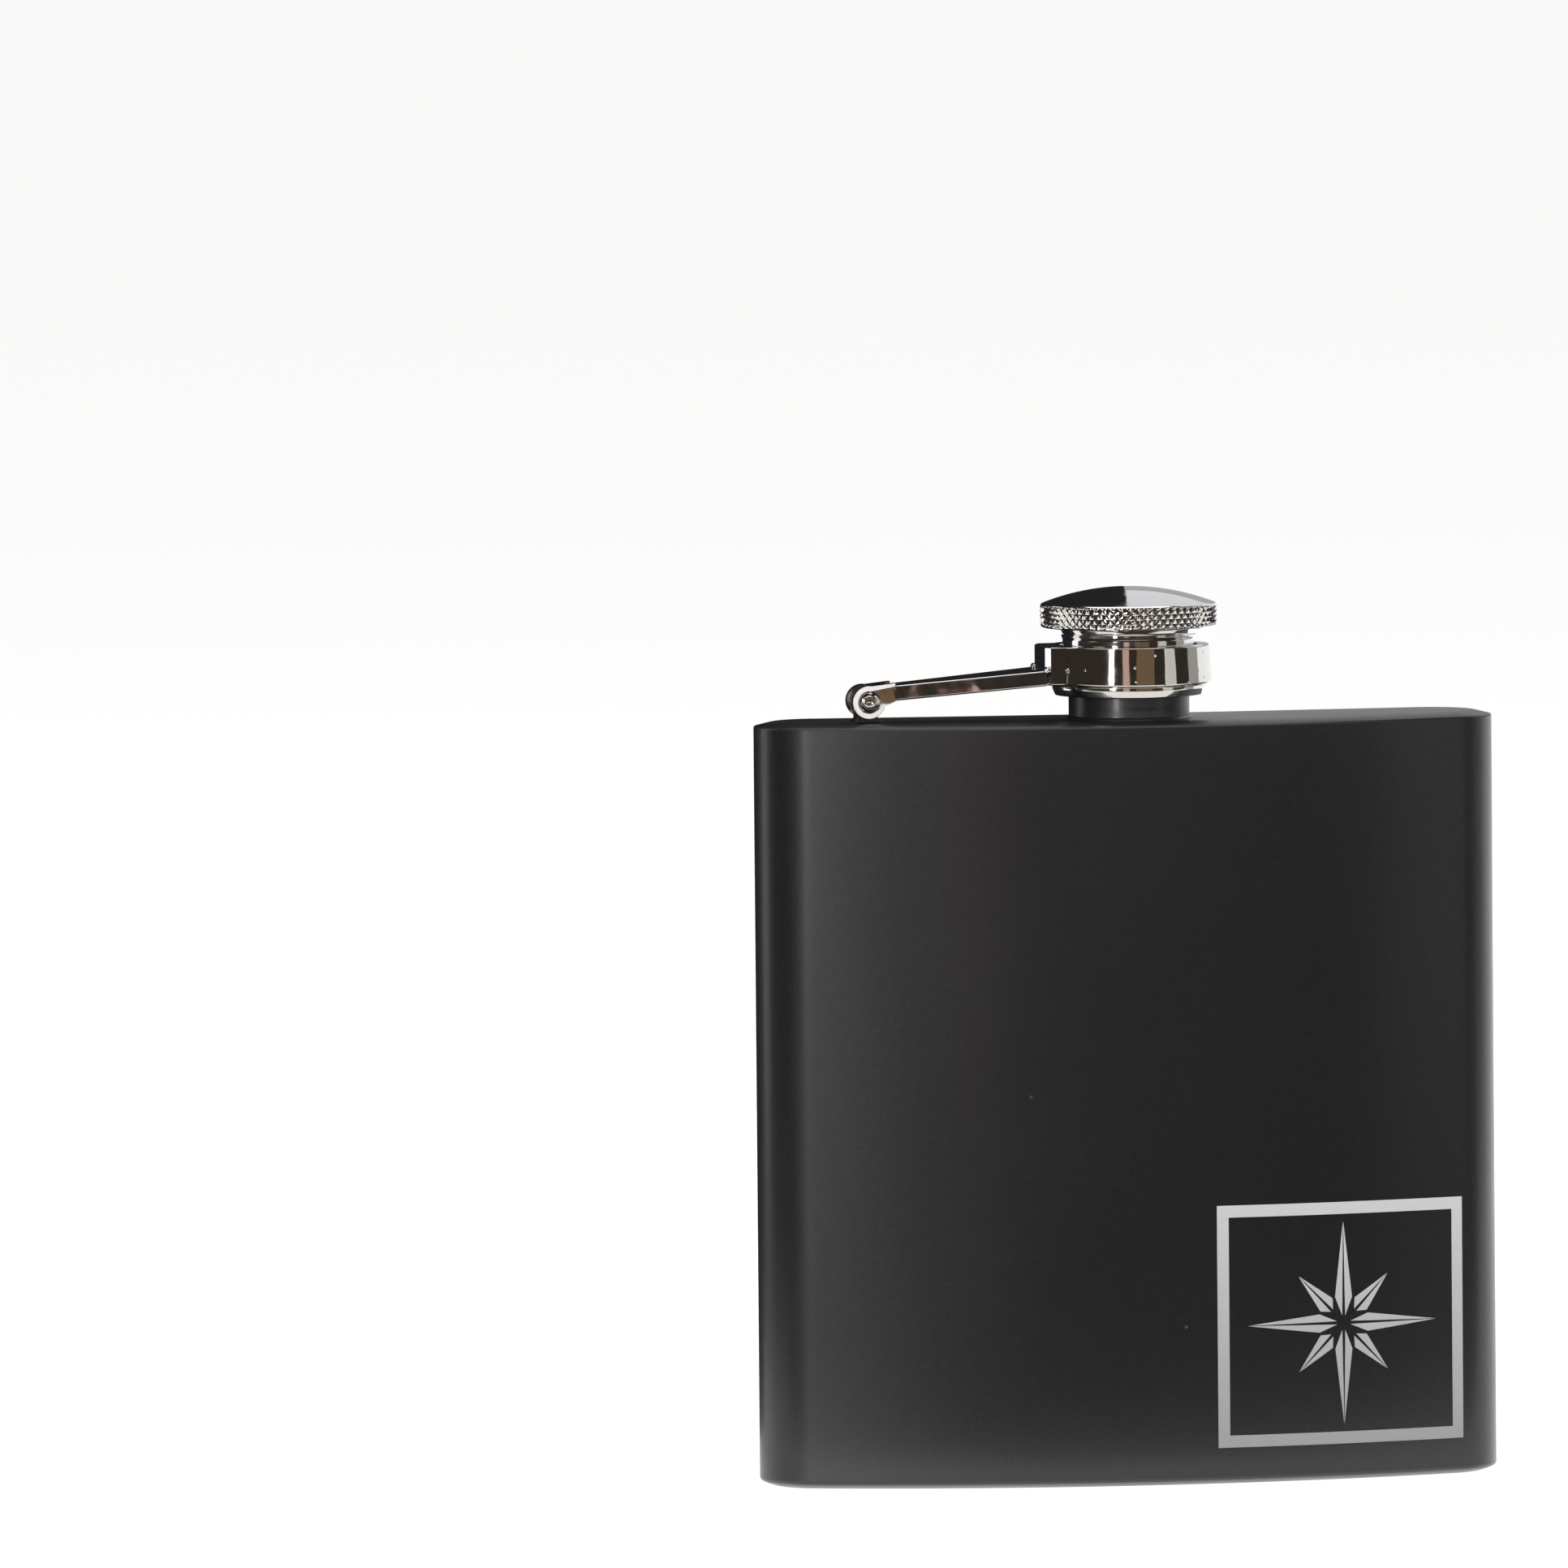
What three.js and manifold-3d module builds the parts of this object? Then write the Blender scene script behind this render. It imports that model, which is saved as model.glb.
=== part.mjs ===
// A six-ounce hip flask with a captive screw cap, in millimetres, +Z up.
// The origin is the middle of the flat base. The curved front faces -Y and the hinge stands at -X.
//
// The body is a wrapped and seam-welded wall, closed by a drawn base plate and shoulder plate.
// A threaded neck stands on the shoulder. A lever arm, hinged beside it, ends in a collar ring.
// The cap turns in that ring and is held there by its head above and a retaining flange below.
import * as THREE from "three";
import { mergeVertices } from "three/addons/utils/BufferGeometryUtils.js";
import Module from "manifold-3d";

const wasm = await Module();
wasm.setup();

// ---- Driving dimensions ----

// Body outline, seen from above: a shallow front arc, round ends and a slightly hollow back.
const bodyWidth = 93;
const bodyHeight = 95;
const frontRadius = 125;
const backRadius = 420;
const endRadius = 8;
const wallThickness = 0.7;
const bevelWidth = 2.3;
const shoulderBevelHeight = 0.75;
const baseBevelHeight = 1.05;
const lipDepth = 3;
const lipThickness = 0.6;
const lipClearance = 0.05;

// Neck. Heights from here on are above the shoulder.
const stubRadius = 7.5;
const stubHeight = 3.3;
const neckBoreRadius = 5.4;
const threadRootRadius = 6;
const threadCrestRadius = 6.5;
const neckHeight = 10.4;
const neckFlangeRadius = 7.9;
const threadPitch = 1.5;

// Cap stack.
const flangeRadius = 9.5;
const flangeBottom = 2.9;
const flangeTop = 4.2;
const sleeveRadius = 8.2;
const sleeveBoreRadius = 7.8;
const headRadius = 11;
const headBottom = 11.3;
const knurlTop = 14.3;
const domeTop = 16.3;
const shellThickness = 0.6;
const insertRadius = 7.75;
const insertBoreRadius = 7.45;
const insertCrestRadius = 7.25;
const insertBottom = 5.5;
const insertCeiling = 13.2;
const gasketRadius = 7.1;
const gasketThickness = 0.7;

// Collar ring and lever arm.
const ringRadius = 10;
const ringFootRadius = 10.3;
const ringBoreRadius = 8.5;
const ringBottom = 4.35;
const ringTop = 9.15;
const rootBlockReach = 11.2;
const rootBlockWidth = 10;
const armHingeWidth = 5.5;
const armSheet = 0.8;
const armHeight = 1.9;

// Hinge beside the neck.
const hingeX = -33.2;
const hingeHeight = 2.6;
const knuckleRadius = 2.05;
const barrelRadius = 1.7;
const barrelWidth = 3;
const pinRadius = 0.65;
const pinHeadRadius = 1;
const pinHeadThickness = 0.4;
const runningClearance = 0.12;

// How finely round shapes are cut.
const roundSteps = 40;
const smallRoundSteps = 24;
const frontSteps = 26;
const endSteps = 11;
const backSteps = 12;
const threadSteps = 24;

// ---- Finishes ----

function finish(color, roughness, metalness) {
  return new THREE.MeshStandardMaterial({ color, roughness, metalness });
}

const blackCoat = finish(0x2a2a2c, 0.55, 0.2);
const polishedChrome = finish(0xd9d9dc, 0.08, 1);
const paleNylon = finish(0xe6e2d8, 0.5, 0);
const clearSilicone = finish(0xd8dadb, 0.6, 0);

// ---- Solids ----

function toSolid(geometry) {
  const bare = geometry.index ? geometry.toNonIndexed() : geometry.clone();
  bare.deleteAttribute("normal");
  bare.deleteAttribute("uv");
  const merged = mergeVertices(bare, 1e-4);
  return new wasm.Manifold(
    new wasm.Mesh({
      numProp: 3,
      vertProperties: new Float32Array(merged.attributes.position.array),
      triVerts: new Uint32Array(merged.index.array),
    }),
  );
}

function toGeometry(solid) {
  const mesh = solid.getMesh();
  const geometry = new THREE.BufferGeometry();
  geometry.setAttribute("position", new THREE.BufferAttribute(mesh.vertProperties, 3));
  geometry.setIndex(new THREE.BufferAttribute(mesh.triVerts, 1));
  geometry.computeVertexNormals();
  return geometry;
}

function named(name, geometry, material) {
  const mesh = new THREE.Mesh(geometry, material);
  mesh.name = name;
  return mesh;
}

// A turned shape about the Z axis. Its profile of [radius, height] pairs runs up the outside.
function turned(profile, steps = roundSteps) {
  const points = profile.map(([radius, height]) => new THREE.Vector2(radius, height));
  return new THREE.LatheGeometry(points, steps).rotateX(Math.PI / 2);
}

// A turned ring: the profile is closed back to its first point.
function turnedRing(profile, steps = roundSteps) {
  return turned([...profile, profile[0]], steps);
}

function cylinder(radius, bottom, top, steps = roundSteps) {
  return turned([[0, bottom], [radius, bottom], [radius, top], [0, top]], steps);
}

// A flat shape drawn in X and Z, given a width centred on the XZ plane.
function acrossY(shape, width) {
  const options = { depth: width, bevelEnabled: false, curveSegments: smallRoundSteps / 2 };
  const geometry = new THREE.ExtrudeGeometry(shape, options);
  return geometry.translate(0, 0, -width / 2).rotateX(Math.PI / 2);
}

// One helical thread ridge of the given [radius, height] section, which may stand in or out.
function threadRidge(section, bottom, turns) {
  const steps = Math.round(turns * threadSteps);
  const corners = section.length;
  const positions = [];
  for (let step = 0; step <= steps; step++) {
    const angle = (2 * Math.PI * step) / threadSteps;
    const rise = bottom + (threadPitch * step) / threadSteps;
    for (const [radius, height] of section) {
      positions.push(radius * Math.cos(angle), radius * Math.sin(angle), rise + height);
    }
  }
  const faces = [];
  for (let step = 0; step < steps; step++) {
    for (let corner = 0; corner < corners; corner++) {
      const here = step * corners + corner;
      const beside = step * corners + ((corner + 1) % corners);
      faces.push(here, here + corners, beside);
      faces.push(beside, here + corners, beside + corners);
    }
  }
  const last = steps * corners;
  for (let corner = 1; corner < corners - 1; corner++) {
    faces.push(0, corner, corner + 1);
    faces.push(last, last + corner + 1, last + corner);
  }
  const geometry = new THREE.BufferGeometry();
  geometry.setAttribute("position", new THREE.Float32BufferAttribute(positions, 3));
  geometry.setIndex(faces);
  return geometry;
}

// ---- Body outline ----

// The end arcs touch the front arc from inside and the back arc from outside.
const endX = bodyWidth / 2 - endRadius;
const frontReach = Math.sqrt((frontRadius - endRadius) ** 2 - endX ** 2);
const backReach = Math.sqrt((backRadius + endRadius) ** 2 - endX ** 2);
const frontDepth = frontRadius - frontReach;
const backHollow = backRadius - backReach;
// The neck stands midway between front and back. The head overhangs the front a little, so the
// whole flask, head included, is centred on the origin.
const neckSetForward = (frontDepth + backHollow) / 2;
const endY = (neckSetForward + headRadius - endRadius) / 2;
const neckY = endY - neckSetForward;
const frontHalfAngle = Math.atan2(endX, frontReach);
const backHalfAngle = Math.atan2(endX, backReach);

// Points along an arc, without its last one, which the next arc starts with.
function arc(x, y, radius, from, to, steps) {
  const points = [];
  for (let step = 0; step < steps; step++) {
    const angle = from + ((to - from) * step) / steps;
    points.push([x + radius * Math.cos(angle), y + radius * Math.sin(angle)]);
  }
  return points;
}

function bodyOutline(inset) {
  const down = -Math.PI / 2;
  const up = Math.PI / 2;
  const front = frontRadius - inset;
  const end = endRadius - inset;
  const back = backRadius + inset;
  return [
    ...arc(0, endY + frontReach, front, down - frontHalfAngle, down + frontHalfAngle, frontSteps),
    ...arc(endX, endY, end, down + frontHalfAngle, up + backHalfAngle, endSteps),
    ...arc(0, endY + backReach, back, down + backHalfAngle, down - backHalfAngle, backSteps),
    ...arc(-endX, endY, end, up - backHalfAngle, up + Math.PI - frontHalfAngle, endSteps),
  ];
}

// A closed solid through outlines at [inset, height] levels, lowest first.
function lofted(levels) {
  const positions = [];
  const faces = [];
  for (const [inset, height] of levels) {
    for (const [x, y] of bodyOutline(inset)) {
      positions.push(x, y, height);
    }
  }
  const around = positions.length / 3 / levels.length;
  const bottomMiddle = positions.length / 3;
  positions.push(0, 0, levels[0][1], 0, 0, levels[levels.length - 1][1]);
  for (let i = 0; i < around; i++) {
    const next = (i + 1) % around;
    for (let level = 0; level < levels.length - 1; level++) {
      const low = level * around;
      const high = low + around;
      faces.push(low + i, low + next, high + i);
      faces.push(high + i, low + next, high + next);
    }
    const top = (levels.length - 1) * around;
    faces.push(bottomMiddle, next, i);
    faces.push(bottomMiddle + 1, top + i, top + next);
  }
  const geometry = new THREE.BufferGeometry();
  geometry.setAttribute("position", new THREE.Float32BufferAttribute(positions, 3));
  geometry.setIndex(faces);
  return toSolid(geometry);
}

// ---- Body pieces ----

const wallBottom = baseBevelHeight;
const wallTop = bodyHeight - shoulderBevelHeight;
const lipInset = wallThickness + lipClearance;
const lipInnerInset = lipInset + lipThickness;

// The wall is open at both ends, as the wrapped sheet is before the plates are welded in.
function bodyWall() {
  const outside = lofted([[0, wallBottom], [0, wallTop]]);
  const inside = lofted([[wallThickness, wallBottom - 1], [wallThickness, wallTop + 1]]);
  return named("body_wall", toGeometry(outside.subtract(inside)), blackCoat);
}

// A drawn plate whose bevelled rim sits on the wall's end and whose lip goes inside the wall.
function shoulderPlate() {
  const outside = lofted([
    [lipInset, wallTop - lipDepth],
    [lipInset, wallTop],
    [0, wallTop],
    [bevelWidth, bodyHeight],
  ]);
  const inside = lofted([
    [lipInnerInset, wallTop - lipDepth - 1],
    [lipInnerInset, wallTop - lipThickness],
    [bevelWidth, bodyHeight - wallThickness],
  ]);
  const neckHole = toSolid(cylinder(stubRadius + lipClearance, wallTop - lipDepth, bodyHeight + 1)
    .translate(0, neckY, 0));
  return named("shoulder_plate", toGeometry(outside.subtract(inside).subtract(neckHole)), blackCoat);
}

// The same drawn plate, upside down and without a hole. Its flat face stands on the table.
function basePlate() {
  const outside = lofted([
    [bevelWidth, 0],
    [0, wallBottom],
    [lipInset, wallBottom],
    [lipInset, wallBottom + lipDepth],
  ]);
  const inside = lofted([
    [bevelWidth, wallThickness],
    [lipInnerInset, wallBottom + lipThickness],
    [lipInnerInset, wallBottom + lipDepth + 1],
  ]);
  return named("base_plate", toGeometry(outside.subtract(inside)), blackCoat);
}

// The neck is put in from below: its flange is welded under the shoulder plate.
function neckTube() {
  const underPlate = -wallThickness;
  const flangeThickness = 0.8;
  const lipRadius = threadRootRadius + 0.1;
  const tube = toSolid(turnedRing([
    [neckBoreRadius, underPlate - flangeThickness],
    [neckFlangeRadius, underPlate - flangeThickness],
    [neckFlangeRadius, underPlate],
    [stubRadius, underPlate],
    [stubRadius, stubHeight - 0.4],
    [stubRadius - 0.4, stubHeight],
    [threadRootRadius, stubHeight],
    [threadRootRadius, neckHeight - 0.7],
    [lipRadius, neckHeight - 0.35],
    [lipRadius - 0.2, neckHeight],
    [neckBoreRadius + 0.1, neckHeight],
    [neckBoreRadius, neckHeight - 0.2],
  ]));
  const rootOverlap = 0.25;
  const section = [
    [threadRootRadius - rootOverlap, -0.45],
    [threadCrestRadius, -0.15],
    [threadCrestRadius, 0.15],
    [threadRootRadius - rootOverlap, 0.45],
  ];
  const turns = 3;
  const ridge = toSolid(threadRidge(section, stubHeight + 0.9, turns));
  return named("neck_tube", toGeometry(tube.add(ridge)), blackCoat);
}

// ---- Hinge ----

// A small barrel on a foot, welded to the shoulder.
function hingeBracket() {
  const footHalfWidth = 1.3;
  const footSpread = 0.5;
  const meets = Math.acos(footHalfWidth / barrelRadius);
  const side = new THREE.Shape();
  side.moveTo(-footHalfWidth - footSpread, -hingeHeight);
  side.lineTo(footHalfWidth + footSpread, -hingeHeight);
  side.lineTo(footHalfWidth, -hingeHeight + footSpread);
  side.absarc(0, 0, barrelRadius, -meets, Math.PI + meets, false);
  side.lineTo(-footHalfWidth, -hingeHeight + footSpread);
  side.closePath();
  const hole = new THREE.Path();
  hole.absarc(0, 0, pinRadius + runningClearance, 0, 2 * Math.PI, true);
  side.holes.push(hole);
  const mesh = named("hinge_bracket", acrossY(side, barrelWidth), blackCoat);
  mesh.position.set(hingeX, 0, hingeHeight);
  return mesh;
}

// The pin is riveted over at both ends, outside the arm's knuckles.
function hingePin() {
  const shank = armHingeWidth / 2 + runningClearance;
  const end = shank + pinHeadThickness;
  const geometry = turned([
    [0, -end],
    [pinHeadRadius * 0.6, -end],
    [pinHeadRadius, -shank - 0.15],
    [pinHeadRadius, -shank],
    [pinRadius, -shank],
    [pinRadius, shank],
    [pinHeadRadius, shank],
    [pinHeadRadius, shank + 0.15],
    [pinHeadRadius * 0.6, end],
    [0, end],
  ], smallRoundSteps);
  const mesh = named("hinge_pin", geometry.rotateX(Math.PI / 2), polishedChrome);
  mesh.position.set(hingeX, 0, hingeHeight);
  return mesh;
}

// ---- Lever arm and collar ring ----

// The pressed arm is a channel that widens from the hinge to the ring.
// At the hinge it is rolled into two knuckles, and the rolled end lies back on top as a tail.
function leverArm() {
  const length = -rootBlockReach - 0.02 - hingeX;
  const ringEndBottom = ringBottom - hingeHeight;
  const hingeEndTop = knuckleRadius - 0.3;
  const tailLength = 3.5;
  const tailHeight = 0.35;
  const rise = (ringEndBottom + armHeight - hingeEndTop) / length;

  const side = new THREE.Shape();
  side.moveTo(0, hingeEndTop - armHeight);
  side.lineTo(length, ringEndBottom);
  side.lineTo(length, ringEndBottom + armHeight);
  side.lineTo(tailLength, hingeEndTop + rise * tailLength);
  side.lineTo(tailLength, hingeEndTop + rise * tailLength + tailHeight);
  side.lineTo(0, knuckleRadius);
  side.closePath();
  const bar = toSolid(acrossY(side, rootBlockWidth));

  const plan = new THREE.Shape();
  const reach = knuckleRadius + 1;
  const taper = (rootBlockWidth - armHingeWidth) / 2 / length;
  plan.moveTo(-reach, -armHingeWidth / 2);
  plan.lineTo(reach, -armHingeWidth / 2);
  plan.lineTo(length + 1, -armHingeWidth / 2 - taper * (length + 1 - reach));
  plan.lineTo(length + 1, armHingeWidth / 2 + taper * (length + 1 - reach));
  plan.lineTo(reach, armHingeWidth / 2);
  plan.lineTo(-reach, armHingeWidth / 2);
  plan.closePath();
  const planDepth = 20;
  const planOptions = { depth: planDepth, bevelEnabled: false };
  const planBlock = new THREE.ExtrudeGeometry(plan, planOptions).translate(0, 0, -planDepth / 2);

  const knuckle = toSolid(cylinder(knuckleRadius, -armHingeWidth / 2, armHingeWidth / 2, smallRoundSteps)
    .rotateX(Math.PI / 2));
  const pinHole = toSolid(cylinder(pinRadius + runningClearance, -rootBlockWidth, rootBlockWidth,
    smallRoundSteps).rotateX(Math.PI / 2));
  const slotReach = knuckleRadius + 0.45;
  const slotWidth = barrelWidth + 2 * runningClearance;
  const slot = toSolid(new THREE.BoxGeometry(2 * slotReach, slotWidth, 4 * knuckleRadius));

  // The underside of the channel, from just behind the slot to the ring.
  const pocketStart = slotReach + armSheet;
  const pocket = new THREE.Shape();
  pocket.moveTo(pocketStart, -armHeight);
  pocket.lineTo(length - armSheet, -armHeight);
  pocket.lineTo(length - armSheet, hingeEndTop + rise * (length - armSheet) - armSheet);
  pocket.lineTo(pocketStart, hingeEndTop + rise * pocketStart - armSheet);
  pocket.closePath();
  const pocketPlan = new THREE.Shape();
  const innerHalf = armHingeWidth / 2 - armSheet;
  pocketPlan.moveTo(0, -innerHalf);
  pocketPlan.lineTo(reach, -innerHalf);
  pocketPlan.lineTo(length, -innerHalf - taper * (length - reach));
  pocketPlan.lineTo(length, innerHalf + taper * (length - reach));
  pocketPlan.lineTo(reach, innerHalf);
  pocketPlan.lineTo(0, innerHalf);
  pocketPlan.closePath();
  const pocketBlock = new THREE.ExtrudeGeometry(pocketPlan, planOptions).translate(0, 0, -planDepth / 2);
  const channel = toSolid(acrossY(pocket, rootBlockWidth)).intersect(toSolid(pocketBlock));

  const arm = bar.intersect(toSolid(planBlock)).add(knuckle).subtract(pinHole).subtract(slot)
    .subtract(channel);
  const mesh = named("lever_arm", toGeometry(arm), polishedChrome);
  mesh.position.set(hingeX, 0, hingeHeight);
  return mesh;
}

// The ring has a square root block, which the end of the arm is brazed to.
function collarRing() {
  const edge = 0.25;
  const ring = toSolid(turned([
    [0, ringBottom],
    [ringFootRadius - edge, ringBottom],
    [ringFootRadius, ringBottom + edge],
    [ringRadius, ringTop - edge],
    [ringRadius - edge, ringTop],
    [0, ringTop],
  ]));
  const blockHeight = ringTop - ringBottom - 2 * edge;
  const blockMiddle = (ringTop + ringBottom) / 2;
  const block = toSolid(new THREE.BoxGeometry(rootBlockReach, rootBlockWidth, blockHeight)
    .translate(-rootBlockReach / 2, 0, blockMiddle));
  const bore = toSolid(cylinder(ringBoreRadius, ringBottom - 1, ringTop + 1));
  return named("collar_ring", toGeometry(ring.add(block).subtract(bore)), polishedChrome);
}

// ---- Cap ----

// The domed head is drawn from sheet. Its knurled rim is rolled in below, under the sleeve's flange.
function capShell() {
  const knurlRows = 5;
  const knurlDepth = 0.28;
  const rimRadius = headRadius - 0.2;
  const domeSteps = 5;
  const domeRise = domeTop - knurlTop;
  const domeRadius = (rimRadius ** 2 + domeRise ** 2) / (2 * domeRise);
  const headSteps = 60;
  const innerRadius = headRadius - knurlDepth - shellThickness;

  function dome(radius, lift, from, to) {
    const points = [];
    for (let step = 0; step <= domeSteps; step++) {
      const out = from + ((to - from) * step) / domeSteps;
      const drop = radius - Math.sqrt(radius ** 2 - out ** 2);
      points.push([out, domeTop - lift - drop]);
    }
    return points;
  }

  const profile = [[sleeveRadius + 0.2, headBottom], [rimRadius, headBottom]];
  const firstKnurl = profile.length;
  for (let row = 0; row < knurlRows; row++) {
    const height = headBottom + 0.2 + ((knurlTop - headBottom - 0.4) * row) / (knurlRows - 1);
    profile.push([headRadius, height]);
  }
  profile.push(...dome(domeRadius, 0, rimRadius, 0));
  profile.push(...dome(domeRadius, shellThickness, 0, innerRadius));
  profile.push([innerRadius, headBottom + shellThickness]);
  profile.push([sleeveRadius + 0.2, headBottom + shellThickness]);
  profile.push(profile[0]);

  // Every second point of the rim is sunk, and each row is shifted by one, which leaves diamonds.
  const geometry = turned(profile, headSteps);
  const position = geometry.attributes.position;
  for (let around = 0; around <= headSteps; around++) {
    for (let row = 1; row < knurlRows - 1; row++) {
      if ((around + row) % 2) continue;
      const index = around * profile.length + firstKnurl + row;
      const shrink = (headRadius - knurlDepth) / headRadius;
      position.setX(index, position.getX(index) * shrink);
      position.setY(index, position.getY(index) * shrink);
    }
  }
  return named("cap_shell", geometry, polishedChrome);
}

// The sleeve runs through the collar ring. Its top flange is trapped inside the head.
function capSleeve() {
  const flangeUnder = headBottom + shellThickness + 0.05;
  const flangeOver = flangeUnder + 0.4;
  const innerRadius = headRadius - 1.2;
  const beadRadius = sleeveRadius + 0.12;
  return named("cap_sleeve", turnedRing([
    [sleeveBoreRadius, flangeBottom],
    [sleeveRadius, flangeBottom],
    [sleeveRadius, headBottom - 1.1],
    [beadRadius, headBottom - 1],
    [beadRadius, flangeUnder],
    [innerRadius, flangeUnder],
    [innerRadius, flangeOver],
    [sleeveBoreRadius, flangeOver],
  ]), polishedChrome);
}

// Pressed onto the sleeve under the collar ring, so that the cap can't leave the ring.
function retainingFlange() {
  return named("retaining_flange", turnedRing([
    [sleeveRadius + 0.05, flangeBottom],
    [flangeRadius - 0.8, flangeBottom],
    [flangeRadius, flangeBottom + 0.6],
    [flangeRadius, flangeTop - 0.2],
    [flangeRadius - 0.2, flangeTop],
    [sleeveRadius + 0.05, flangeTop],
  ]), polishedChrome);
}

// The moulded insert carries the cap's own thread and closes the top above the seal.
function threadInsert() {
  const discBottom = headBottom + shellThickness + 0.5;
  const discRadius = headRadius - 1.3;
  const discTop = knurlTop - 0.5;
  const body = toSolid(turned([
    [insertBoreRadius, insertBottom],
    [insertRadius, insertBottom],
    [insertRadius, discBottom],
    [discRadius, discBottom],
    [discRadius, discTop - 0.4],
    [discRadius - 0.6, discTop],
    [0, discTop],
    [0, insertCeiling],
    [insertBoreRadius, insertCeiling],
    [insertBoreRadius, insertBottom],
  ]));
  const rootOverlap = 0.15;
  const section = [
    [insertBoreRadius + rootOverlap, -0.45],
    [insertBoreRadius + rootOverlap, 0.45],
    [insertCrestRadius, 0.15],
    [insertCrestRadius, -0.15],
  ];
  const turns = 3;
  const ridge = toSolid(threadRidge(section, insertBottom + 0.8, turns));
  return named("thread_insert", toGeometry(body.add(ridge)), paleNylon);
}

// The seal lies against the insert's ceiling and shuts on the neck's rim.
function sealGasket() {
  const top = insertCeiling - 0.05;
  const geometry = cylinder(gasketRadius, top - gasketThickness, top);
  return named("seal_gasket", geometry, clearSilicone);
}

// Everything above the shoulder is placed from the middle of the neck's foot.
function shoulderGroup() {
  const group = new THREE.Group();
  group.add(neckTube(), hingeBracket(), hingePin(), leverArm(), collarRing());
  group.add(capShell(), capSleeve(), retainingFlange(), threadInsert(), sealGasket());
  group.position.set(0, neckY, bodyHeight);
  return group;
}

const hipFlask = new THREE.Group();
hipFlask.add(bodyWall(), shoulderPlate(), basePlate(), shoulderGroup());

export default hipFlask;
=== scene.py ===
"""A matte black pocket hip flask with a hinged lever arm and a captive knurled screw cap.

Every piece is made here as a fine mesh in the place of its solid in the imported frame.
The file goes through the flask as it is put together: body, mark, neck, hinge, arm, ring, cap.
"""

import math

import bmesh
import bpy
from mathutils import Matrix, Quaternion, Vector


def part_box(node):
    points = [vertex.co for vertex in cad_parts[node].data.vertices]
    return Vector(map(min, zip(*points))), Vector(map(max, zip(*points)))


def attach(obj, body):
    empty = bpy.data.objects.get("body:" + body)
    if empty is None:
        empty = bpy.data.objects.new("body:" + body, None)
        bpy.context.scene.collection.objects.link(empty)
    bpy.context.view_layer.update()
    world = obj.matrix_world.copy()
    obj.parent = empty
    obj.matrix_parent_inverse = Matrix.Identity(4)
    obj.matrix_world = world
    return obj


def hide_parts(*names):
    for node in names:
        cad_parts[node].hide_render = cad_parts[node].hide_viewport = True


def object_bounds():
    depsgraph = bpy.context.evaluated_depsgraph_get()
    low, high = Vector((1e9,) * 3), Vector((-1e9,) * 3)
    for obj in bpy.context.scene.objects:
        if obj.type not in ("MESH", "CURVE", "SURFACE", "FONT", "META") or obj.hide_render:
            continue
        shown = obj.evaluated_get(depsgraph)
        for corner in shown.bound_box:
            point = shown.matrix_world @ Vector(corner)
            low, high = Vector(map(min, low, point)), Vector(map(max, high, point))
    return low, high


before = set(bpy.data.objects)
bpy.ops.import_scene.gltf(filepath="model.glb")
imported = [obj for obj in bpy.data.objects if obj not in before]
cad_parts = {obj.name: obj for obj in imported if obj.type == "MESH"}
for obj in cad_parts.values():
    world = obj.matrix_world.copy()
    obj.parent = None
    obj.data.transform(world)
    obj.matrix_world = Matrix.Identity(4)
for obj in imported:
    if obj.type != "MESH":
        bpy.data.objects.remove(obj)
solid_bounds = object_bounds()
mm = 0.001


# ---- The view ----
# The flask is seen from far off, a little from its left and a little from above.
# It stands right of and below the middle of the picture.

view_distance = 3.13
view_from_left = math.radians(10.5)
eye_height = 0.285
picture_middle_left = 0.0428
picture_middle_height = 0.087
camera_roll = math.radians(-0.5)

camera_data = bpy.data.cameras.new("camera")
camera_data.lens = 580
camera_data.sensor_width = 36
camera_data.clip_end = 40
camera = bpy.data.objects.new("camera", camera_data)
bpy.context.scene.collection.objects.link(camera)
bpy.context.scene.camera = camera

to_picture_right = Vector((math.cos(view_from_left), -math.sin(view_from_left), 0))
to_camera = Vector((-math.sin(view_from_left), -math.cos(view_from_left), 0))
camera.location = to_camera * view_distance + Vector((0, 0, eye_height))
looked_at = Vector((0, 0, picture_middle_height)) - to_picture_right * picture_middle_left
camera.rotation_mode = "QUATERNION"
line_of_sight = looked_at - camera.location
camera.rotation_quaternion = line_of_sight.to_track_quat("-Z", "Y") @ Quaternion((0, 0, 1), camera_roll)


# ---- Wrapped wall ----
# One sheet of stainless steel is wrapped to a kidney shape and welded along a narrow end.
# It is coated outside with matte black powder, which leaves a fine grain.

wall_low, wall_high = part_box("body_wall")
wall_thickness = 0.7 * mm
front_radius = 125 * mm
back_radius = 420 * mm
end_radius = 8 * mm
end_x = 46.5 * mm - end_radius
front_reach = math.sqrt((front_radius - end_radius) ** 2 - end_x**2)
back_reach = math.sqrt((back_radius + end_radius) ** 2 - end_x**2)
front_half_angle = math.atan2(end_x, front_reach)
back_half_angle = math.atan2(end_x, back_reach)
end_y = wall_high.y - end_radius
front_centre_y = end_y + front_reach
back_centre_y = end_y + back_reach


def arc(x, y, radius, start, end, steps):
    """Points along an arc, without the last one."""
    points = []
    for step in range(steps):
        angle = start + (end - start) * step / steps
        along = Vector((math.cos(angle), math.sin(angle)))
        points.append(Vector((x, y)) + along * radius)
    return points


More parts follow.
